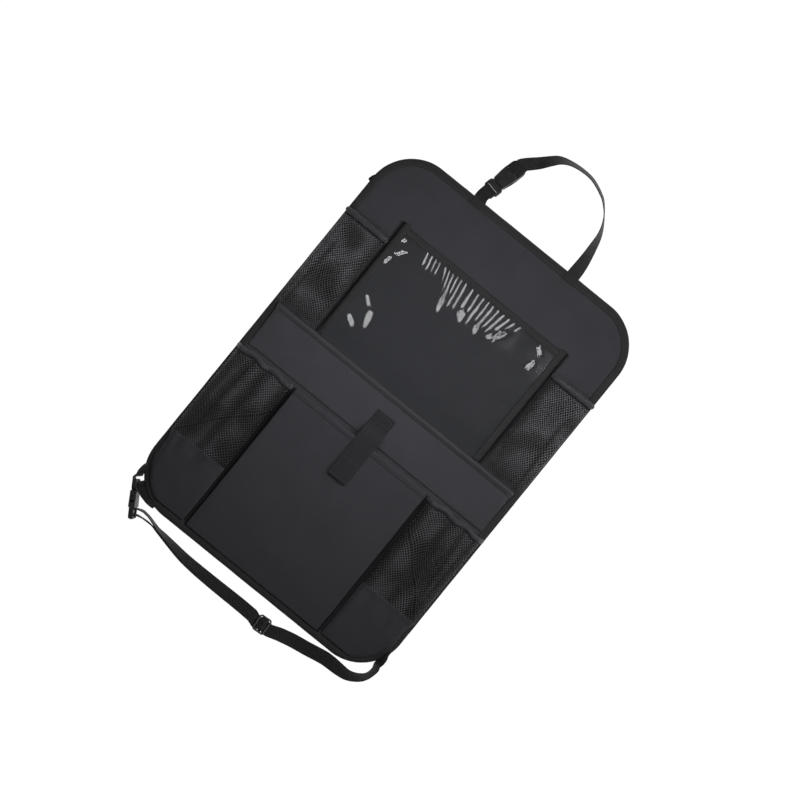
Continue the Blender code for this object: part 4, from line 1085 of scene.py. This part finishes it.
magazine = {"half": 0.1125, "foot": 0.115, "top": -0.052, "bottom": -0.2885, "depth": 0.012, "tuck": 0.7}


def magazineRise(y):
    share = (magazine["top"] - y) / (magazine["top"] - magazine["bottom"])
    return 0.0006 + magazine["depth"] * (1 - min(max(share, 0.0), 1.0) ** 1.15)


def magazineProfile(y):
    rise = magazineRise(y)
    half, base = magazine["half"], magazine["foot"]
    tuck = base - magazine["tuck"] * rise
    side = [(-base, 0.0), (-(base + tuck) / 2, 0.22 * rise), (-tuck, 0.5 * rise), (-(tuck + half) / 2,
        0.76 * rise), (-half, 0.96 * rise), (-half + 0.0015, rise), (-half + 0.006, rise + 0.0004), (-0.06,
        rise * 1.08), (-0.02, rise * 1.11)]
    points = side + [(-x, z) for x, z in reversed(side)]
    return np.array([p[0] for p in points]), np.array([p[1] for p in points])


def magazinePoint(s, t):
    y = magazine["bottom"] + (magazine["top"] - 0.0015 - magazine["bottom"]) * t
    x, z = magazineProfile(y)
    length = runLength(np.column_stack((x, z)))
    knots = [0.0, 0.03, 0.06, 0.09, 0.12, 0.13, 0.16, 0.33, 0.47]
    knots += [1 - k for k in reversed(knots)]
    run = float(np.interp(s, knots, length))
    px, pz = float(np.interp(run, length, x)), float(np.interp(run, length, z))
    inside = (1 - fade(abs(px), 0.095, 0.112)) * (1.0 if 0.12 < s < 0.88 else 0.0)
    pz += (0.0009 * ripple(px, y, 0.11, 6.0) + 0.00035 * ripple(px, y, 0.034, 9.0)) * inside * fade(y, -0.288,
        -0.25)
    px += 0.0009 * ripple(y, 0.0, 0.05, 4.0 if px > 0 else 5.0) * fade(abs(px), 0.08, 0.112) * fade(y, -0.288,
        -0.25)
    return Vector((px, y, foot + 0.0002 + max(pz, 0.0)))


def makeMagazinePocket():
    columns = 200
    mesh = sheetMesh("magazinePocket", magazinePoint, columns, 110)
    item = makeObject("magazinePocket", mesh, footCloth, ["magazine_pocket"], "pocket_fabric")
    # painted shade: the pocket's side gussets take the near-black cloth
    item.data.materials.append(gussetCloth)
    for face in mesh.polygons:
        share = abs((face.index % columns + 0.5) / columns - 0.5)
        face.material_index = 1 if share > 0.384 else 0
    thicken(item, 0.0007)
    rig.sheet(item, (0.262, 0.236), "folded", rests_on=["back_panel"])
    stations = []
    count = 110
    for step in range(count + 1):
        share = 0.128 + 0.744 * step / count
        top = magazinePoint(share, 1.0)
        inward = (magazinePoint(share, 0.955) - top).normalized()
        stations.append((top - inward * 0.0015, Vector((0, 0, 1)), inward))
    hem = foldedHem("magazineHem", stations, 0.0088, 0.0012, footCloth, ["magazine_pocket_hem"],
        "pocket_fabric")
    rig.sheet(hem, (0.225, 0.01), "folded", rests_on=["magazinePocket"])
    line = [tuple(edge + inward * 0.007 + normal * 0.0013) for edge, normal, inward in stations[2:-2:3]]
    stitchRow("magazineHemStitches", [line])
    seams = []
    for side in (-1, 1):
        share = 0.136 if side < 0 else 0.864
        seams.append([tuple(magazinePoint(share, 0.04 + 0.9 * k / 60) + Vector((0, 0,
            0.0006))) for k in range(61)])
    seams.append([tuple(magazinePoint(0.14 + 0.72 * k / 60, 0.018) + Vector((0, 0,
        0.0006))) for k in range(61)])
    stitchRow("magazineSeams", seams)


makeMagazinePocket()
print("magazine pocket made")


# closure tab with its patches

tab = {"width": 0.03, "centre": 0.005, "top": -0.005, "bottom": -0.113, "thickness": 0.0016, "patch": 0.034}


def magazineFront(y):
    return foot + magazineRise(y) * 1.11


def bandFront(y):
    return foot + 0.0004 + band["depth"] * (y - band["bottom"]) / (band["top"] - band["bottom"])


def tabPath():
    lay = tab["thickness"] / 2 + 0.0008
    stack = 0.003
    rows = [(tab["top"] + 0.0006, bandFront(tab["top"]) + lay), (-0.017, bandFront(-0.017) + lay + 0.0002),
        (-0.027, bandFront(-0.027) + lay + 0.0015), (-0.039, magazineFront(-0.052) + 0.0017), (-0.048,
        magazineFront(-0.052) + 0.0034), (-0.055, magazineFront(-0.052) + 0.0036), (-0.066,
        magazineFront(-0.066) + 0.004), (-0.079, magazineFront(-0.079) + stack + 0.0012), (-0.096,
        magazineFront(-0.096) + stack + 0.0012), (tab["bottom"], magazineFront(-0.113) + stack + 0.0013)]
    return smoothRows(rows, 6)


def makeTab():
    rings = []
    path = tabPath()
    for index, (y, z) in enumerate(path):
        before, after = neighbours(path, index)
        along = Vector((0.0, after[0] - before[0], after[1] - before[1])).normalized()
        face = Vector((0.0, along.z, -along.y))
        half = tab["width"] / 2
        taper = 1 - 0.02 * (1 - fade(index, 0, 2))
        ring = []
        for across, lift in ((-1.0, 0.0), (-0.985, 0.7), (-0.9, 1.0), (-0.5, 1.05), (0.0, 1.1), (0.5, 1.05),
                (0.9, 1.0), (0.985, 0.7), (1.0, 0.0), (0.985, -0.7), (0.9, -1.0), (0.0, -1.0), (-0.9, -1.0),
                (-0.985, -0.7)):
            crown = 0.0003 * (1 - across ** 2) * (1 if lift > 0 else 0)
            edge = 0.0003 * ripple(y, across, 0.012, 2.0)
            ring.append((tab["centre"] + across * half * taper + edge, y,
                z + face.z * (lift * tab["thickness"] / 2 + crown)))
        rings.append(ring)
    mesh = tube("closureTab", rings)
    item = makeObject("closureTab", mesh, hookLoop, ["closure_tab"], "hook_loop")
    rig.sheet(item, (tab["width"], 0.112), "laid", rests_on=["magazinePocket", "slipPocket"])

    def onTab(x, y):
        level = float(np.interp(-y, [-p[0] for p in path], [p[1] for p in path]))
        return tab["centre"] + x, y, level + 0.0012

    box = [onTab(-0.0125, -0.0085), onTab(0.0125, -0.0085), onTab(0.0125, -0.0185), onTab(-0.0125, -0.0185),
        onTab(-0.0125, -0.0085)]
    lower = [onTab(-0.0128 if k in (0, 3, 4) else 0.0128, -0.1095 if k in (0, 1,
        4) else -0.0815) for k in range(5)]
    stitchRow("tabStitches", [box, lower])

    for node, name, level in (("loop_patch", "loopPatch", 0.0008), ("hook_patch", "hookPatch", 0.002)):
        def surface(s, t):
            x, y = tab["centre"] + (s - 0.5) * 0.026, tab["bottom"] + 0.002 + (tab["patch"] - 0.004) * t
            return x, y, magazineFront(y) + level + 0.0001 * ripple(x, y, 0.004, 1.0)

        item = makeObject(name, sheetMesh(name, surface, 12, 12), hookLoop, [node], "hook_loop")
        thicken(item, 0.0009, -1.0 if name == "loopPatch" else 0.0)
        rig.sheet(item, (0.026, 0.03), "laid", rests_on=["magazinePocket"])


makeTab()
print("closure tab made")


# webbing, its route through the buckles and the slide

web = {"width": 0.019, "thickness": 0.0014, "clearance": 0.0004}
buckle = {"length": 0.054, "width": 0.0242, "thickness": 0.009, "barLength": 0.0032, "barThickness": 0.003,
    "first": (0.039, 0.0415), "second": (0.046, 0.0503)}


def strapAxes(heading, tilt):
    along = Vector((cos(radians(heading)), sin(radians(heading)), 0.0))
    right = Vector((along.y, -along.x, 0.0))
    up = Vector((0.0, 0.0, 1.0))
    across = right * cos(radians(tilt)) - up * sin(radians(tilt))
    face = up * cos(radians(tilt)) + right * sin(radians(tilt))
    return along, across, face


def restingHeight(tilt, width, thickness):
    lean = radians(tilt)
    return web["clearance"] + abs(sin(lean)) * width / 2 + abs(cos(lean)) * thickness / 2


def freeRun(route, steps=2):
    rows = []
    for x, y, z, tilt in route:
        rows.append((x, y, restingHeight(tilt, web["width"], web["thickness"]) if z is None else z, tilt))
    rows = smoothRows(rows, steps)
    stations = []
    for index, row in enumerate(rows):
        before, after = neighbours(rows, index)
        heading = atan2(after[1] - before[1], after[0] - before[0]) * 180 / pi
        stations.append((Vector(row[:3]), *strapAxes(heading, row[3])[1:]))
    return stations


def buckleFrame(start, end, tilt):
    heading = atan2(end[1] - start[1], end[0] - start[0]) * 180 / pi
    along, across, face = strapAxes(heading, tilt)
    height = restingHeight(tilt, buckle["width"], buckle["thickness"])
    return Vector((start[0], start[1], height)), along, across, face


def inFrame(place, path, sign=1):
    origin, along, across, face = place
    return [(origin + along * u + face * n, across * sign, face) for u, n in path]


def makeStrap(name, stations, nodes, webbing):
    rows = np.array([tuple(s[0]) + tuple(s[1].normalized()) for s in stations])
    rows = smoothRows(rows, 3)
    section = ((-1.0, 0.0), (-0.975, 0.75), (-0.9, 1.0), (-0.8, 0.86), (-0.4, 0.9), (0.0, 0.92), (0.4, 0.9),
        (0.8, 0.86), (0.9, 1.0), (0.975, 0.75), (1.0, 0.0), (0.975, -0.75), (0.9, -1.0), (0.8, -0.86), (0.0,
        -0.92), (-0.8, -0.86), (-0.9, -1.0), (-0.975, -0.75))
    rings = []
    for index, row in enumerate(rows):
        centre, across = Vector(row[:3]), Vector(row[3:]).normalized()
        before, after = (Vector(near[:3]) for near in neighbours(rows, index))
        face = across.cross((after - before).normalized()).normalized()
        ring = []
        for side, lift in section:
            ring.append(tuple(centre + across * (side * web["width"] / 2)
                + face * (lift * web["thickness"] / 2)))
        rings.append(ring)
    item = makeObject(name, tube(name, rings), webbing, nodes, "webbing")
    path = [tuple(row[:3]) for row in rows]
    length = sum((Vector(b) - Vector(a)).length for a, b in zip(path, path[1:]))
    print(name, round(length, 4))
    return item, path, length


def layWebbing(name, stations, node, webbing):
    # short or doubled webbing counts as a folded strip
    item, path, length = makeStrap(name, stations, [node], webbing)
    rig.sheet(item, (web["width"], length), "folded")


wrapLift = buckle["barThickness"] / 2 + web["thickness"] / 2 + 0.0005
wrapSide = web["thickness"] / 2 + 0.0008
layOnPanel = panel["thickness"] + 0.0003 + web["thickness"] / 2
topBuckle = buckleFrame((-0.0787, 0.3155), (-0.0662, 0.368), -14)
lowerBuckle = buckleFrame((-0.202, -0.2812), (-0.1733, -0.3269), -84)
slideFrame = (Vector((0.051, -0.3272, 0.0104)), *strapAxes(4, -24))


def maleWrap(place):
    turn = buckle["barLength"] + wrapSide
    return inFrame(place, [(-0.011, wrapLift - 0.0012), (-0.005, wrapLift - 0.0002), (0.0, wrapLift),
        (turn - 0.0018, wrapLift), (turn - 0.0004, wrapLift * 0.6), (turn, 0.0), (turn - 0.0004,
        -wrapLift * 0.6), (turn - 0.0018, -wrapLift), (0.0, -wrapLift), (-0.006, -wrapLift + 0.0004)])


def endWrap(place):
    turn = buckle["first"][1] - wrapSide
    end = buckle["length"]
    return inFrame(place, [(end + 0.0065, -wrapLift + 0.0004), (end, -wrapLift), (turn + 0.0018, -wrapLift),
        (turn + 0.0004, -wrapLift * 0.6), (turn, 0.0), (turn + 0.0004, wrapLift * 0.6), (turn + 0.0018,
        wrapLift), (end, wrapLift), (end + 0.002, wrapLift)])


def middleBarWrap(place, sign):
    first = buckle["first"][1] - wrapSide
    second = buckle["second"][0] + wrapSide
    path = [(first - 0.0004, 0.006), (first, 0.003), (first, 0.0), (first + 0.0004, -wrapLift * 0.6),
        (first + 0.0018, -wrapLift), (second - 0.0018, -wrapLift), (second - 0.0004, -wrapLift * 0.6), (second,
        0.0), (second + 0.0002, 0.003), (second + 0.0006, 0.006)]
    return inFrame(place, path, sign)


def roundCorner(side, rows):
    # stations whose lower edge is tucked into the binding round a bottom corner, by angle, tilt and tuck
    stations = []
    for angle, tilt, tuck in rows:
        out = panel["corner"] - tuck + (web["width"] * abs(cos(radians(tilt))) + web["thickness"]) / 2
        x = panel["width"] / 2 - panel["corner"] + out * sin(radians(angle))
        y = panel["corner"] - panel["height"] / 2 - out * cos(radians(angle))
        stations.append((side * x, y, None, tilt))
    return stations


def makeHeadrestLoop():
    stub = freeRun([(-0.0812, 0.286, layOnPanel, 0), (-0.0812, 0.296, layOnPanel, 0), (-0.0811, 0.303,
        layOnPanel + 0.0015, -6)])[:-1]
    layWebbing("upperStub", stub + maleWrap(topBuckle), "upper_strap_stub", loopWeb)
    route = [(-0.0612, 0.3752, 0.0088, -18), (-0.0556, 0.3808, 0.0078, -20), (-0.05, 0.3867, None, -25),
        (-0.044, 0.3934, None, -33), (-0.0378, 0.4003, None, -40), (-0.0306, 0.4068, None, -48), (-0.018,
        0.4122, None, -62), (0.0, 0.415, None, -68), (0.02, 0.4138, None, -71), (0.04, 0.4058, None,
        -74), (0.05, 0.399, None, -78), (0.061, 0.3868, None, -84), (0.069, 0.3735, None, -77), (0.074,
        0.36, None, -66), (0.0765, 0.345, None, -53), (0.0785, 0.33, None, -40), (0.0797, 0.315, 0.0062,
        -22), (0.08, 0.303, layOnPanel + 0.0008, -6), (0.08, 0.296, layOnPanel, 0), (0.08, 0.286,
        layOnPanel, 0)]
    item, path, length = makeStrap("headrestStrap", endWrap(topBuckle) + freeRun(route), ["headrest_strap"],
        loopWeb)
    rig.cord(item, path[0], length, web["width"], "object", "medium", "loose", path=path)


def makeSeatStrap():
    seam = roundCorner(-1, [(67, -88, 0.0032), (62.5, -78, 0.0024), (57, -68, 0.0014)])
    seam += [(-0.2028, -0.275, 0.0112, -70)]
    through = inFrame(lowerBuckle, [(-0.003, -0.003), (0.0014, -wrapLift), (0.003, -wrapLift), (0.0042,
        -0.0018), (0.0045, 0.0), (0.0046, 0.0018), (0.0056, 0.0052)])
    tail = roundCorner(-1, [(46, -60, 0.0012), (39, -61, 0.0012), (32, -65, 0.0014), (26, -70, 0.0018), (20,
        -75, 0.002), (13, -82, 0.0024)])
    layWebbing("lowerStub", freeRun(seam) + through + freeRun(tail), "lower_strap_stub", strapWeb)

    right = roundCorner(1, [(76, 89, 0.0034), (71, 84, 0.003), (66.5, 74, 0.0022), (61, 66, 0.0012), (56, 62,
        0.0002)])
    right += [(0.2062, -0.2768, None, 63), (0.206, -0.2835, None, 67), (0.2035, -0.292, None, 68), (0.198,
        -0.299, None, 62), (0.19, -0.3045, None, 56), (0.18, -0.3083, None, 45), (0.165, -0.3093, None,
        27), (0.145, -0.31, None, 10), (0.12, -0.3148, None, 6), (0.095, -0.319, 0.0034, 10), (0.076,
        -0.3235, 0.0062, 19)]
    over = [(0.0125, -0.0032), (0.0086, -0.003), (0.0063, -0.0027), (0.0051, -0.0009), (0.0048, 0.0008),
        (0.004, 0.003), (0.0024, 0.0043), (0.0, 0.0046), (-0.0024, 0.0043), (-0.004, 0.003), (-0.0048,
        0.0008), (-0.0051, -0.0009), (-0.0063, -0.0027), (-0.0086, -0.003)]
    doubled = freeRun([(0.033, -0.3262, 0.0066, 27), (0.02, -0.3257, None, 29), (0.0, -0.3255, None, 31),
        (-0.03, -0.3256, None, 36), (-0.06, -0.3252, None, 43), (-0.085, -0.324, None, 52), (-0.105,
        -0.3214, None, 62), (-0.122, -0.3188, None, 72), (-0.138, -0.3166, None, 82)])
    layer = web["thickness"] / 2 + 0.0002
    for index, (centre, across, face) in enumerate(doubled):
        raised = Vector((0.0, 0.0, abs(face.z) * (web["thickness"] + 0.0004) / 2))
        doubled[index] = (centre + raised * (index > 0), across, face)
    upper = [(centre + face * layer, across) for centre, across, face in doubled]
    under = [(centre - face * layer, across) for centre, across, face in reversed(doubled)]
    toBuckle = freeRun([(-0.148, -0.3128, None, 86), (-0.158, -0.31, 0.011, 88), (-0.168, -0.3092, 0.012,
        87)])
    fromBuckle = freeRun([(-0.164, -0.3172, 0.0122, 87), (-0.155, -0.3166, 0.0114, 88), (-0.146, -0.3172,
        None, 86)])
    roundBar = [(-0.0086, -0.0048), (-0.006, -0.0046), (-0.004, -0.0035), (-0.0029, -0.0018), (-0.0027,
        -0.0004), (-0.0027, 0.0015), (-0.0018, 0.0027), (0.0, 0.0028), (0.0018, 0.0027), (0.0027, 0.0015),
        (0.0027, -0.0013), (0.0018, -0.0026), (0.0004, -0.0028)]
    stations = freeRun(right) + inFrame(slideFrame, over, -1) + upper + toBuckle
    stations += middleBarWrap(lowerBuckle, -1) + fromBuckle + under + inFrame(slideFrame, roundBar, -1)
    layWebbing("seatStrap", stations, "seat_base_strap", strapWeb)


makeHeadrestLoop()
makeSeatStrap()
print("straps made")


# buckles and slide: the moulded shapes with softened edges

def softenPlastic(node, name, width):
    source = frame["nodes"][node]
    mesh = source.data.copy()
    bm = bmesh.new()
    bm.from_mesh(mesh)
    bmesh.ops.remove_doubles(bm, verts=bm.verts, dist=2e-6)
    bmesh.ops.dissolve_limit(bm, angle_limit=radians(1.0), verts=bm.verts, edges=bm.edges)
    bm.to_mesh(mesh)
    bm.free()
    mesh.materials.clear()
    mesh.name = name
    item = makeObject(name, mesh, satinPlastic, [node], "buckle")
    edges = item.modifiers.new("edges", "BEVEL")
    edges.width = width
    edges.segments = 2
    edges.limit_method = "ANGLE"
    edges.angle_limit = radians(35)
    mesh.shade_smooth()
    mesh.set_sharp_from_angle(angle=radians(40))


for node, name in (("upper_buckle_male", "upperBuckleMale"), ("upper_buckle_female", "upperBuckleFemale"),
        ("lower_buckle_male", "lowerBuckleMale"), ("lower_buckle_female", "lowerBuckleFemale"),
        ("strap_adjuster", "strapSlide")):
    softenPlastic(node, name, 0.00022)
print("buckles made")

with open("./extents.json", "w") as out:
    json.dump({"cad": [list(corner) for corner in cadBox], "visual": [list(corner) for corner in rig.bounds()]},
        out)
